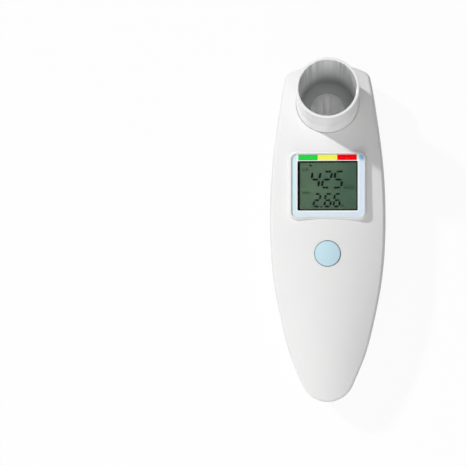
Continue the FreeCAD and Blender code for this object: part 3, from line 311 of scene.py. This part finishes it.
def softRubber(name, settings):
    look = {**rubberBase, **settings}
    material, tree, shader = newFinish(name)
    place = objectPlace(tree)
    dust = noise(tree, look["dustSize"], 4.0, place)
    dusty = remap(tree, dust, look["dusts"], 0.0, look["dust"])
    colour = mixColour(tree, dusty, look["colour"], look["dustTint"])
    pores = addNode(tree, "ShaderNodeTexVoronoi", {"Vector": place, "Scale": 1.0 / (look["poreSize"] * mm)})
    rough, smudge = look["roughness"], look["smudge"]
    roughness = remap(tree, dust, wholeNoise, rough - smudge, rough + smudge)
    normal = bump(tree, pores.outputs["Distance"], look["poreDepth"])
    feed(tree, shader, colour=colour, roughness=roughness, normal=normal, sheen=look["sheen"])
    finishTree(tree, shader)
    return material


# Plated steel and wire: drawn along one axis, with tarnish in patches and bright edges

steelBase = {"tarnishSize": 2.4, "tarnishes": (0.45, 0.7), "tarnished": 0.6, "edges": (0.52, 0.6),
             "rubbed": 0.7, "smoother": 0.1, "rougher": 0.12, "metallic": 1.0}
steels = {
    "contactMetal": {"colour": (0.70, 0.68, 0.62), "tarnish": (0.55, 0.51, 0.43),
                     "bright": (0.85, 0.84, 0.80), "roughness": 0.3, "stretch": (1.0, 0.1, 1.0),
                     "streakSize": 0.15, "streakDepth": 0.002},
    "screenCloth": {"colour": (0.99, 0.99, 0.99), "tarnish": (0.95, 0.95, 0.945),
                    "bright": (0.99, 0.99, 0.99), "roughness": 0.5, "stretch": (1.0, 1.0, 1.0),
                    "streakSize": 0.3, "streakDepth": 0.001, "metallic": 0.0},
    "screwSteel": {"colour": (0.62, 0.62, 0.63), "tarnish": (0.45, 0.44, 0.42),
                   "bright": (0.80, 0.80, 0.81), "roughness": 0.32, "stretch": (1.0, 1.0, 0.1),
                   "streakSize": 0.2, "streakDepth": 0.003},
}


def platedSteel(name, settings):
    look = {**steelBase, **settings}
    material, tree, shader = newFinish(name)
    place = objectPlace(tree)
    streak = noise(tree, look["streakSize"], 3.0, stretched(tree, place, look["stretch"]))
    patches = noise(tree, look["tarnishSize"], 4.0, place)
    tarnish = remap(tree, patches, look["tarnishes"], 0.0, look["tarnished"])
    colour = mixColour(tree, tarnish, look["colour"], look["tarnish"])
    edge = remap(tree, geometry(tree, "Pointiness"), look["edges"], 0.0, look["rubbed"])
    colour = mixColour(tree, edge, colour, look["bright"])
    rough = look["roughness"]
    roughness = remap(tree, streak, wholeNoise, rough - look["smoother"], rough + look["rougher"])
    feed(tree, shader, colour=colour, roughness=roughness, normal=bump(tree, streak, look["streakDepth"]),
         metallic=look["metallic"])
    finishTree(tree, shader)
    return material


# Read-out glass: a grey-green reflective layer with painted shade darkening it to the right, with fine
# electrode lines under it

readoutLook = {"colour": (0.100, 0.168, 0.102), "paintedShadeAndCloud": (0.047, 0.097, 0.066), "paintedShadeFrom": -6.0,
               "paintedShadeTo": 14.0, "paintedShading": 0.7, "cloudSize": 12.0, "clouded": 0.4,
               "speck": (0.16, 0.22, 0.16), "speckSize": 0.12, "specked": 0.15, "linePitch": 2.262,
               "lineDepth": 0.0005, "roughness": 0.4, "smudge": 0.05, "specular": 0.03}


def readoutGlass(name):
    look = readoutLook
    material, tree, shader = newFinish(name)
    place = objectPlace(tree)
    cloud = noise(tree, look["cloudSize"], 2.0, place)
    # painted shade: the layer darkens from left to right, and the cloudy tone adds to it
    paintedShadeSpan = (look["paintedShadeFrom"] * mm, look["paintedShadeTo"] * mm)
    across = remap(tree, split(tree, place)["X"], paintedShadeSpan, 0.0, look["paintedShading"])
    paintedShadeAndCloud = calc(tree, "ADD", across, remap(tree, cloud, middleNoise, 0.0, look["clouded"]))
    toned = mixColour(tree, paintedShadeAndCloud, look["colour"], look["paintedShadeAndCloud"])
    speck = remap(tree, noise(tree, look["speckSize"], 2.0, place), upperNoise, 0.0, look["specked"])
    colour = mixColour(tree, speck, toned, look["speck"])
    lines = ripple(tree, look["linePitch"], place, "Y")
    rough, smudge = look["roughness"], look["smudge"]
    roughness = remap(tree, cloud, wholeNoise, rough - smudge, rough + smudge)
    feed(tree, shader, colour=colour, roughness=roughness, normal=bump(tree, lines, look["lineDepth"]),
         specular=look["specular"])
    finishTree(tree, shader)
    return material


# Lit segments: near-black and dull under the glass, broken by fine specks as liquid crystal is

inkBase = {"speckSize": 0.1, "roughness": (0.28, 0.4), "depth": 0.001, "specular": 0.0}
inks = {
    "segmentBlack": {"colour": (0.004, 0.006, 0.005), "tint": (0.010, 0.014, 0.011)},
    "segmentFaint": {"colour": (0.010, 0.018, 0.013), "tint": (0.018, 0.031, 0.022)},
    # black border, partly painted shadow of the window's edges on the left and top
    "borderAndShadowBlack": {"colour": (0.003, 0.004, 0.004), "tint": (0.006, 0.008, 0.007)},
}


def readoutInk(name, settings):
    look = {**inkBase, **settings}
    material, tree, shader = newFinish(name)
    speck = noise(tree, look["speckSize"], 3.0, objectPlace(tree))
    toned = mixColour(tree, remap(tree, speck, upperNoise), look["colour"], look["tint"])
    feed(tree, shader, colour=toned, roughness=remap(tree, speck, wholeNoise, *look["roughness"]),
         normal=bump(tree, speck, look["depth"]), specular=look["specular"])
    finishTree(tree, shader)
    return material


# Mask: light blue print with a painted shadow deepening it in one corner, and a white line left round the
# window and the three bars

maskLook = {
    "left": (0.75, 0.96, 1.0), "right": (0.72, 0.84, 1.0), "halfWidth": 18.0,
    "white": (0.98, 0.98, 0.99), "line": 0.75, "lineEdge": 1.25,
    "window": {"width": 29.6, "height": 24.5, "y": 23.35},
    "bars": {"width": 28.8, "height": 2.8, "y": 37.3},
    "pale": (0.94, 0.98, 1.0), "paleFrom": 10.1, "paleTo": 6.6, "paled": 0.9,
    "corner": (0.16, 0.52, 0.80), "cornerX": 16.7, "cornerY": 37.2, "cornerFrom": 0.4, "cornerR": 2.3,
    "cornered": 0.9, "speckSize": 0.25, "specked": 0.06, "smudgeSize": 4.0, "smudge": 0.04,
    "roughness": 0.34, "depth": 0.002,
}


def whiteLine(tree, axes, opening):
    acrossX = calc(tree, "SUBTRACT", calc(tree, "ABSOLUTE", axes["X"]), opening["width"] / 2 * mm)
    fromMiddle = calc(tree, "SUBTRACT", axes["Y"], opening["y"] * mm)
    acrossY = calc(tree, "SUBTRACT", calc(tree, "ABSOLUTE", fromMiddle), opening["height"] / 2 * mm)
    outside = calc(tree, "MAXIMUM", acrossX, acrossY)
    line = maskLook["line"] * mm
    return remap(tree, outside, (line, line * maskLook["lineEdge"]), 1.0, 0.0)


def printedMask(name):
    look = maskLook
    material, tree, shader = newFinish(name)
    place = objectPlace(tree)
    axes = split(tree, place)
    aroundWindow, aroundBars = (whiteLine(tree, axes, look[opening]) for opening in ("window", "bars"))
    white = calc(tree, "MAXIMUM", aroundWindow, aroundBars)
    sideways = remap(tree, axes["X"], (-look["halfWidth"] * mm, look["halfWidth"] * mm))
    blue = mixColour(tree, sideways, look["left"], look["right"])
    downward = remap(tree, axes["Y"], (look["paleFrom"] * mm, look["paleTo"] * mm), 0.0, look["paled"])
    blue = mixColour(tree, downward, blue, look["pale"])
    # painted shadow: a deeper blue spot at the mask's top right corner
    away = flatDistance(tree, place, look["cornerX"] * mm, look["cornerY"] * mm)
    corner = remap(tree, away, (look["cornerFrom"] * mm, look["cornerR"] * mm), look["cornered"], 0.0)
    blue = mixColour(tree, corner, blue, look["corner"])
    speck = noise(tree, look["speckSize"], 3.0, place)
    blue = mixColour(tree, remap(tree, speck, upperNoise, 0.0, look["specked"]), blue, look["white"])
    colour = mixColour(tree, white, blue, look["white"])
    smudges = noise(tree, look["smudgeSize"], 3.0, place)
    rough, smudge = look["roughness"], look["smudge"]
    roughness = remap(tree, smudges, wholeNoise, rough - smudge, rough + smudge)
    normal = bump(tree, calc(tree, "ADD", white, speck), look["depth"])
    feed(tree, shader, colour=colour, roughness=roughness, normal=normal)
    finishTree(tree, shader)
    return material


# Clear window: polished acrylic that lets light and shadow through, with hairline scratches

windowLook = {"colour": (0.99, 0.995, 1.0), "hazeTint": (0.97, 0.985, 1.0), "hazeSize": 5.0,
              "hazes": (0.4, 0.7), "roughness": 0.04, "hazed": 0.05, "scratchSize": 0.9,
              "scratchDepth": 0.0006, "scratchStretch": (0.08, 1.0, 1.0), "scratchTurn": (0.0, 0.0, 0.6),
              "ior": 1.08}


def clearWindow(name):
    look = windowLook
    material, tree, shader = newFinish(name)
    place = objectPlace(tree)
    scratched = stretched(tree, place, look["scratchStretch"], look["scratchTurn"])
    scratch = noise(tree, look["scratchSize"], 4.0, scratched)
    haze = noise(tree, look["hazeSize"], 3.0, place)
    tone = mixColour(tree, remap(tree, haze, look["hazes"]), look["colour"], look["hazeTint"])
    roughness = remap(tree, haze, upperNoise, look["roughness"], look["roughness"] + look["hazed"])
    feed(tree, shader, colour=tone, roughness=roughness, normal=bump(tree, scratch, look["scratchDepth"]),
         transmission=1.0, ior=look["ior"])
    passing = anyRay(tree, ["Is Shadow Ray", "Is Diffuse Ray"])
    finishTree(tree, mixShader(tree, passing, shader, addNode(tree, "ShaderNodeBsdfTransparent")))
    return material


# Mouthpiece: glossy white outside; in the bore, painted reflections as upright grey streaks, one painted
# highlight band clear of them, and painted shade greying it deeper down

boreLook = {
    "colour": (0.96, 0.96, 0.96), "tint": (0.94, 0.945, 0.95), "driftSize": 22.0, "drift": 0.5,
    # in the bore: streak is the grey of the painted reflection streaks, the highlight keys place one
    # painted highlight band, and the depth shade keys grey it deeper down
    "bore": (0.99, 0.99, 0.99), "streak": (0.63, 0.635, 0.64), "paintedDepthShade": (0.47, 0.475, 0.48),
    "tilt": 9.5, "axis": (0.0, 65.0, 23.87), "boreR": 13.9,
    "fineScale": 7.0, "fines": (0.44, 0.58), "fineShare": (0.0, 0.6),
    "broadScale": 1.7, "broads": (0.4, 0.6), "broadShare": (0.1, 0.5),
    "paintedHighlightAngle": 88.0, "paintedHighlightHalf": 11.0, "paintedHighlightCore": 0.8, "streaksInPaintedHighlight": 0.15,
    "fadeTo": 6.0, "fadeFrom": 17.0, "faded": 0.35, "paintedDepthShadeTo": -9.0, "paintedDepthShadeFrom": 2.0,
    "roughness": 0.2, "smudgeSize": 6.0, "smudge": 0.04, "grainSize": 0.28, "grainDepth": 0.001,
    "specular": 0.5,
}


# Painted reflections and shade in the bore: upright streaks round it, one clear painted highlight band,
# streaks fading lower down, and painted shade greying the bore with depth
def paintedBoreReflectionsAndShade(tree, axes):
    look = boreLook
    around = calc(tree, "ARCTAN2", axes["Y"], axes["X"])
    fine = noiseAlong(tree, around, look["fineScale"], 2.0)
    fine = remap(tree, fine, look["fines"], *look["fineShare"])
    broad = noiseAlong(tree, around, look["broadScale"], 1.0)
    broad = remap(tree, broad, look["broads"], *look["broadShare"])
    # painted reflections: fine and broad upright streaks round the bore
    marks = calc(tree, "ADD", fine, broad)
    # painted highlight: one band where the streaks are mostly left out
    offPaintedHighlight = calc(tree, "ABSOLUTE", calc(tree, "SUBTRACT", around, math.radians(look["paintedHighlightAngle"])))
    paintedHighlightHalf = math.radians(look["paintedHighlightHalf"])
    band = remap(tree, offPaintedHighlight, (paintedHighlightHalf * look["paintedHighlightCore"], paintedHighlightHalf), look["streaksInPaintedHighlight"], 1.0)
    marks = calc(tree, "MULTIPLY", marks, band)
    shallow = remap(tree, axes["Z"], (look["fadeTo"] * mm, look["fadeFrom"] * mm), look["faded"], 1.0)
    marks = calc(tree, "MULTIPLY", marks, shallow)
    # painted shade: the bore greys deeper down
    depth = remap(tree, axes["Z"], (look["paintedDepthShadeTo"] * mm, look["paintedDepthShadeFrom"] * mm), 1.0, 0.0)
    return mixColour(tree, depth, mixColour(tree, marks, look["bore"], look["streak"]), look["paintedDepthShade"])


def drawnTube(name):
    look = boreLook
    material, tree, shader = newFinish(name)
    place = objectPlace(tree)
    centre = tuple(value * mm for value in look["axis"])
    centred = addNode(tree, "ShaderNodeVectorMath", {0: place, 1: centre}, operation="SUBTRACT")
    inputs = {"Vector": centred.outputs["Vector"], "Angle": math.radians(look["tilt"])}
    upright = addNode(tree, "ShaderNodeVectorRotate", inputs, rotation_type="X_AXIS").outputs["Vector"]
    inside = calc(tree, "LESS_THAN", flatDistance(tree, upright), look["boreR"] * mm)
    drift = remap(tree, noise(tree, look["driftSize"], 3.0, place), middleNoise, 0.0, look["drift"])
    toned = mixColour(tree, drift, look["colour"], look["tint"])
    colour = mixColour(tree, inside, toned, paintedBoreReflectionsAndShade(tree, split(tree, upright)))
    smudges = noise(tree, look["smudgeSize"], 4.0, place)
    smudge = remap(tree, smudges, wholeNoise, -look["smudge"], look["smudge"])
    grain = noise(tree, look["grainSize"], 2.0, place)
    feed(tree, shader, colour=colour, roughness=calc(tree, "ADD", smudge, look["roughness"]),
         normal=bump(tree, grain, look["grainDepth"]), specular=look["specular"])
    finishTree(tree, shader)
    return material


# Circuit board: solder mask over glass weave, copper runs and gold pads in a fine pattern

boardLook = {"mask": (0.02, 0.16, 0.06), "weave": (0.025, 0.19, 0.075), "run": (0.04, 0.26, 0.10),
             "pad": (0.75, 0.60, 0.28), "runPitch": 2.4, "uneven": 0.35, "runs": (0.08, 0.12),
             "pads": (0.13, 0.16), "weavePitch": 0.9425, "weaveHeight": 0.2, "depth": 0.02,
             "smudgeSize": 3.0, "roughness": (0.25, 0.4)}


def circuitGreen(name):
    look = boardLook
    material, tree, shader = newFinish(name)
    place = objectPlace(tree)
    cells = {"Vector": place, "Scale": 1.0 / (look["runPitch"] * mm), "Randomness": look["uneven"]}
    grid = addNode(tree, "ShaderNodeTexVoronoi", cells, distance="CHEBYCHEV", feature="DISTANCE_TO_EDGE")
    run = remap(tree, grid.outputs["Distance"], look["runs"], 1.0, 0.0)
    dots = addNode(tree, "ShaderNodeTexVoronoi", cells).outputs["Distance"]
    pad = remap(tree, dots, look["pads"], 1.0, 0.0)
    weft, warp = (ripple(tree, look["weavePitch"], place, direction) for direction in "XY")
    cloth = calc(tree, "MULTIPLY", weft, warp)
    colour = mixColour(tree, run, mixColour(tree, cloth, look["mask"], look["weave"]), look["run"])
    colour = mixColour(tree, pad, colour, look["pad"])
    raised = calc(tree, "MULTIPLY", cloth, look["weaveHeight"])
    height = calc(tree, "ADD", calc(tree, "MAXIMUM", run, pad), raised)
    roughness = remap(tree, noise(tree, look["smudgeSize"], 3.0, place), wholeNoise, *look["roughness"])
    normal = bump(tree, height, look["depth"])
    feed(tree, shader, colour=colour, roughness=roughness, normal=normal, metallic=pad)
    finishTree(tree, shader)
    return material


# Battery jacket: dark printed foil along the cell with a light band, bare metal at both ends

cellLook = {"jacket": (0.03, 0.045, 0.07), "band": (0.55, 0.56, 0.58), "metal": (0.72, 0.72, 0.70),
            "scratch": (0.3, 0.3, 0.31), "bandEvery": 46.0, "bandFrom": 18.5, "endFacing": (0.3, 0.5),
            "scuffSize": 1.2, "scuffs": (0.6, 0.75), "scuffed": 0.4, "roughness": (0.22, 0.4),
            "depth": 0.004}


def cellJacket(name):
    look = cellLook
    material, tree, shader = newFinish(name)
    place = objectPlace(tree)
    facing = calc(tree, "ABSOLUTE", split(tree, geometry(tree, "Normal"))["Y"])
    ends = remap(tree, facing, look["endFacing"])
    along = calc(tree, "PINGPONG", split(tree, place)["Y"], look["bandEvery"] / 2 * mm)
    band = calc(tree, "GREATER_THAN", along, look["bandFrom"] * mm)
    scuff = noise(tree, look["scuffSize"], 4.0, place)
    jacket = mixColour(tree, band, look["jacket"], look["band"])
    scuffed = remap(tree, scuff, look["scuffs"], 0.0, look["scuffed"])
    jacket = mixColour(tree, scuffed, jacket, look["scratch"])
    colour = mixColour(tree, ends, jacket, look["metal"])
    feed(tree, shader, colour=colour, roughness=remap(tree, scuff, wholeNoise, *look["roughness"]),
         metallic=calc(tree, "MAXIMUM", ends, band), normal=bump(tree, scuff, look["depth"]))
    finishTree(tree, shader)
    return material


def makeFinishes():
    made = {}
    families = ((plastics, mouldedPlastic), (rubbers, softRubber), (steels, platedSteel),
                (inks, readoutInk))
    for family, make in families:
        for name, look in family.items():
            made[name] = make(name, look)
    single = {"readoutGreen": readoutGlass, "maskBlue": printedMask, "mouthpieceWhite": drawnTube,
              "windowClear": clearWindow, "boardGreen": circuitGreen, "cellJacket": cellJacket}
    for name, make in single.items():
        made[name] = make(name)
    return made


finishes = makeFinishes()
print("finishes ready", len(finishes))


# Each listed solid of the frame gets its finish

solidFinishes = {
    "housingWhite": ["front_shell", "rear_shell", "battery_cover"],
    "mouthpieceWhite": ["mouthpiece"],
    "tubeGrey": ["flow_tube", "screen_retainer"],
    "sealRubber": ["mouthpiece_seal", "pressure_hoses", "zebra_strips"],
    "foamBlack": ["tube_gasket", "window_gasket"],
    "sensorBlack": ["pressure_sensor", "tact_switch"],
    "windowClear": ["display_window"],
    "maskBlue": ["window_mask"],
    "zoneGreen": ["zone_green"],
    "zoneYellow": ["zone_yellow"],
    "zoneRed": ["zone_red"],
    "readoutGreen": ["lcd_glass"],
    "holderWhite": ["lcd_holder", "switch_plunger", "battery_tray"],
    "boardGreen": ["circuit_board"],
    "chipBlack": ["board_chips", "buzzer"],
    "buttonBlue": ["power_button"],
    "cellJacket": ["batteries"],
    "contactMetal": ["battery_springs", "battery_contacts"],
    "screwSteel": ["housing_screws", "board_screws", "tray_screws"],
}


def dressSolids():
    for finish, names in solidFinishes.items():
        for name in names:
            mesh = nodes[name].data
            mesh.materials.clear()
            mesh.materials.append(finishes[finish])


dressSolids()
print("finishes on", sum(len(names) for names in solidFinishes.values()), "of", len(nodes), "solids")


# Mesh helpers: a shape is its points in millimetres and its faces

sharpAngle = 40.0  # edges that turn more than this stay sharp


def makePiece(name, points, faces, finish, body):
    mesh = bpy.data.meshes.new(name)
    mesh.from_pydata([(x * mm, y * mm, z * mm) for x, y, z in points], [], faces)
    mesh.validate()
    mesh.shade_smooth()
    mesh.set_sharp_from_angle(angle=math.radians(sharpAngle))
    mesh.materials.append(finishes[finish])
    piece = bpy.data.objects.new(name, mesh)
    scene.collection.objects.link(piece)
    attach(piece, body)
    return piece


def joinRings(faces, start, rings, count):
    for ring in range(rings):
        following = (ring + 1) % rings
        for i in range(count):
            j = (i + 1) % count
            faces.append((start + ring * count + i, start + ring * count + j,
                          start + following * count + j, start + following * count + i))


def addPlate(points, faces, outline, low, high):
    start, count = len(points), len(outline)
    points += [(x, y, low) for x, y in outline] + [(x, y, high) for x, y in outline]
    faces.append(tuple(start + count - 1 - i for i in range(count)))
    faces.append(tuple(start + count + i for i in range(count)))
    for i in range(count):
        j = (i + 1) % count
        faces.append((start + i, start + j, start + count + j, start + count + i))


def addFrame(points, faces, outer, inner, low, high):
    start = len(points)
    rings = ((outer, low), (outer, high), (inner, high), (inner, low))
    for loop, z in rings:
        points += [(x, y, z) for x, y in loop]
    joinRings(faces, start, len(rings), len(outer))


def addWire(points, faces, line, r, sides):
    start, count = len(points), len(line)
    for i, here in enumerate(line):
        before = line[i - 1] if i else here
        after = line[i + 1] if i < count - 1 else here
        heading = (Vector(after) - Vector(before)).normalized()
        side = heading.cross(Vector((0, 0, 1))).normalized()
        upward = side.cross(heading)
        for k in range(sides):
            angle = 2 * math.pi * k / sides
            spoke = side * math.cos(angle) + upward * math.sin(angle)
            points.append(tuple(Vector(here) + spoke * r))
    for i in range(count - 1):
        here, following = start + i * sides, start + (i + 1) * sides
        for k in range(sides):
            m = (k + 1) % sides
            faces.append((here + k, here + m, following + m, following + k))
    faces.append(tuple(start + sides - 1 - k for k in range(sides)))
    faces.append(tuple(start + (count - 1) * sides + k for k in range(sides)))


# Read-out: seven-segment digits, a pointer, small plain marks and a black border, printed on the glass; the
# border is widened on the left and top as painted shadow

readout = {
    "thick": 0.03,
    "big": {"y": 26.4, "half": 3.95, "width": 3.83, "upright": 1.12, "level": 0.98, "gap": 0.56,
            "slant": 0.165, "digits": [("4", -7.88), ("2", -2.22), ("5", 3.38)]},
    "small": {"y": 16.2, "half": 3.08, "width": 2.85, "upright": 0.98, "level": 0.88, "gap": 0.44,
              "slant": 0.115, "digits": [("2", -6.60), ("6", -1.18), ("6", 3.24)]},
    "tip": 0.6,
    "segments": {"2": "abged", "4": "fgbc", "5": "afgcd", "6": "afgedc"},
    "dots": [{"x": -2.95, "y": 12.95, "halfX": 0.42, "halfY": 0.32, "top": 1.0},
             {"x": -8.35, "y": 33.5, "halfX": 0.75, "halfY": 0.45, "top": 0.3}],
    "marks": [{"left": -12.6, "right": -9.3, "low": 30.7, "high": 32.2, "count": 4},
              {"left": -12.6, "right": -8.3, "low": 19.3, "high": 20.8, "count": 5},
              {"left": 7.9, "right": 13.2, "low": 21.8, "high": 23.6, "count": 6},
              {"left": 6.7, "right": 8.2, "low": 12.9, "high": 14.7, "count": 2}],
    "mark": {"inset": 0.2, "wide": 0.45, "lean": 0.2, "least": 0.55},
    # black border on the glass, wider on the left and top where it also paints the shadow of the window's
    # edges
    "borderAndShadow": {"left": 1.25, "right": 0.6, "top": 0.85, "bottom": 0.6, "seat": 0.02},
}
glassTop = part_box("lcd_glass")[1].z / mm
inkTop = glassTop + readout["thick"]


def levelSegment(name, left, row):
    y = {"a": row["half"], "g": 0.0, "d": -row["half"]}[name]
    r, low, high = row["level"] / 2, left + row["gap"] / 2, left + row["width"] - row["gap"] / 2
    return [(low, y), (low + r, y - r), (high - r, y - r),
            (high, y), (high - r, y + r), (low + r, y + r)]


def uprightSegment(name, left, row):
    x = left if name in "fe" else left + row["width"]
    half, gap, r = row["half"], row["gap"], row["upright"] / 2
    low, high = (gap, half - gap) if name in "fb" else (gap - half, -gap)
    tip = r * readout["tip"]
    return [(x, low), (x + r, low + tip), (x + r, high - tip),
            (x, high), (x - r, high - tip), (x - r, low + tip)]


def placed(loop, row):
    return [(x + row["slant"] * height, row["y"] + height) for x, height in loop]


def printDigits():
    points, faces = [], []
    for row in (readout["big"], readout["small"]):
        for digit, left in row["digits"]:
            for name in readout["segments"][digit]:
                shape = levelSegment if name in "agd" else uprightSegment
                addPlate(points, faces, placed(shape(name, left, row), row), glassTop, inkTop)
    for dot in readout["dots"]:
        x, y, halfX, halfY, topX = dot["x"], dot["y"], dot["halfX"], dot["halfY"], dot["halfX"] * dot["top"]
        addPlate(points, faces, [(x - halfX, y - halfY), (x + halfX, y - halfY), (x + topX, y + halfY),
                                 (x - topX, y + halfY)], glassTop, inkTop)
    makePiece("readout_digits", points, faces, "segmentBlack", "housing")


def printMarks():
    points, faces = [], []
    mark = readout["mark"]
    for group in readout["marks"]:
        pitch = (group["right"] - group["left"]) / group["count"]
        low, tall = group["low"], group["high"] - group["low"]
        for i in range(group["count"]):
            left = group["left"] + pitch * (i + mark["inset"])
            right = left + pitch * mark["wide"]
            step = ((i * 2 + 1) % 3) / 2
            high = low + tall * (mark["least"] + (1 - mark["least"]) * step)
            loop = [(left, low), (right, low), (right + mark["lean"], high), (left + mark["lean"], high)]
            addPlate(points, faces, loop, glassTop, inkTop)
    makePiece("readout_marks", points, faces, "segmentFaint", "housing")


def openingLoop(left, right, bottom, top):
    window = maskLook["window"]
    halfX, halfY, y = window["width"] / 2, window["height"] / 2, window["y"]
    x0, x1, y0, y1 = left - halfX, halfX - right, y - halfY + bottom, y + halfY - top
    return [(x0, y0), (x1, y0), (x1, y1), (x0, y1)]


# Black border round the window on the glass, widened on the left and top as painted shadow of the window's
# edges
def printBorderAndShadow():
    borderAndShadow = readout["borderAndShadow"]
    outer = openingLoop(borderAndShadow["seat"], borderAndShadow["seat"], borderAndShadow["seat"], borderAndShadow["seat"])
    inner = openingLoop(borderAndShadow["left"], borderAndShadow["right"], borderAndShadow["bottom"], borderAndShadow["top"])
    points, faces = [], []
    addFrame(points, faces, outer, inner, glassTop, inkTop)
    makePiece("readout_border_and_shadow", points, faces, "borderAndShadowBlack", "housing")


printDigits()
printMarks()
printBorderAndShadow()
print("read-out printed")


# Flow screen: fine woven wire cloth with a pressed rim, in place of its plain solid

screenLook = {"tilt": 9.5, "openR": 8.85, "rimR": 10.0, "rimHalf": 0.15, "rimRound": 0.03, "rimBevel": 0.1,
              "hemWidth": 0.15, "hemTop": 0.08, "rimSteps": 96, "pitch": 0.4, "wireR": 0.155, "sides": 5,
              "perPitch": 2, "leastSteps": 4}


def wovenWires(points, faces):
    pitch, r, openR = screenLook["pitch"], screenLook["wireR"], screenLook["openR"]
    count = int(openR / pitch)
    for along in (0, 1):
        for i in range(-count, count + 1):
            offset = i * pitch
            reach = math.sqrt(openR ** 2 - offset ** 2)
            steps = max(screenLook["leastSteps"], int(2 * reach / pitch * screenLook["perPitch"]))
            line = []
            for k in range(steps + 1):
                t = -reach + 2 * reach * k / steps
                z = r * math.cos(math.pi * (t / pitch + i + along))
                line.append((t, offset, z) if along else (offset, t, z))
            addWire(points, faces, line, r, screenLook["sides"])


def pressedRim(points, faces):
    openR, rimR, half = screenLook["openR"], screenLook["rimR"], screenLook["rimHalf"]
    hemR, steps = openR - screenLook["hemWidth"], screenLook["rimSteps"]
    profile = [(hemR, -half), (rimR, -half), (rimR, half - screenLook["rimRound"]),
               (rimR - screenLook["rimBevel"], half), (openR, half), (hemR, screenLook["hemTop"])]
    start = len(points)
    for radius, z in profile:
        for k in range(steps):
            angle = 2 * math.pi * k / steps
            points.append((radius * math.cos(angle), radius * math.sin(angle), z))
    joinRings(faces, start, len(profile), steps)


def weaveScreen():
    points, faces = [], []
    wovenWires(points, faces)
    pressedRim(points, faces)
    low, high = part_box("flow_screen")
    middle = (low + high) / 2 / mm
    lean = Matrix.Rotation(-math.radians(screenLook["tilt"]), 3, "X")
    seated = [tuple(lean @ Vector(point) + middle) for point in points]
    screen = makePiece("woven_screen", seated, faces, "screenCloth", "housing")
    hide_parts("flow_screen")
    print("flow screen woven", len(faces), "faces")


weaveScreen()


# Floor: pale and even, white to the camera and to reflections, with a soft shadow left on it

floorLook = {"width": 3000.0, "drop": 0.05, "bounce": (0.5, 0.5, 0.5), "seen": (0.96, 0.96, 0.96),
             "speck": (0.92, 0.92, 0.92), "speckSize": 4.0, "specked": 0.5, "glow": 0.92, "glowFrom": 250.0,
             "glowTo": 900.0, "white": (1.0, 1.0, 1.0)}
seenRays = ["Is Camera Ray", "Is Glossy Ray", "Is Transmission Ray"]


def paleFloor():
    look = floorLook
    material = bpy.data.materials.new("paleFloor")
    tree = emptyTree(material)
    seen = anyRay(tree, seenRays)
    place = objectPlace(tree)
    speck = remap(tree, noise(tree, look["speckSize"], 2.0, place), wholeNoise, 0.0, look["specked"])
    tone = mixColour(tree, seen, look["bounce"], mixColour(tree, speck, look["seen"], look["speck"]))
    matt = addNode(tree, "ShaderNodeBsdfDiffuse", {"Color": tone})
    glow = addNode(tree, "ShaderNodeEmission", {"Color": rgba(look["white"]), "Strength": 1.0})
    away = addNode(tree, "ShaderNodeVectorMath", {0: place}, operation="LENGTH").outputs["Value"]
    glowing = remap(tree, away, (look["glowFrom"] * mm, look["glowTo"] * mm), look["glow"], 1.0)
    above = mixShader(tree, calc(tree, "MULTIPLY", seen, glowing), matt, glow)
    below = addNode(tree, "ShaderNodeBsdfTransparent")  # seen from below, the floor is out of the way
    finishTree(tree, mixShader(tree, geometry(tree, "Backfacing"), above, below))
    return material


def layFloor():
    half = floorLook["width"] / 2 * mm
    mesh = bpy.data.meshes.new("floor")
    corners = [(-half, -half, 0), (half, -half, 0), (half, half, 0), (-half, half, 0)]
    mesh.from_pydata(corners, [], [(0, 1, 2, 3)])
    mesh.materials.append(paleFloor())
    floor = bpy.data.objects.new("floor", mesh)
    floor.location.z = -floorLook["drop"] * mm
    scene.collection.objects.link(floor)


# World: a white studio that lights softly, more from overhead, from the right and from beyond the tip

studioLook = {"overhead": 0.25, "horizon": 0.12, "heights": (0.0, 0.8), "fillX": 0.16, "fillY": -0.1,
              "least": 0.02, "white": (1.0, 1.0, 1.0)}


def whiteStudio():
    look = studioLook
    world = bpy.data.worlds.new("studio")
    scene.world = world
    tree = emptyTree(world)
    axes = split(tree, addNode(tree, "ShaderNodeTexCoord").outputs["Generated"])
    strength = remap(tree, axes["Z"], look["heights"], look["horizon"], look["overhead"])
    strength = calc(tree, "ADD", strength, calc(tree, "MULTIPLY", axes["X"], look["fillX"]))
    strength = calc(tree, "ADD", strength, calc(tree, "MULTIPLY", axes["Y"], look["fillY"]))
    strength = calc(tree, "MAXIMUM", strength, look["least"])
    room = addNode(tree, "ShaderNodeBackground", {"Color": rgba(look["white"]), "Strength": strength})
    white = addNode(tree, "ShaderNodeBackground", {"Color": rgba(look["white"]), "Strength": 1.0})
    finishTree(tree, mixShader(tree, anyRay(tree, seenRays), room, white), "ShaderNodeOutputWorld")


layFloor()
whiteStudio()
print("floor and studio ready")
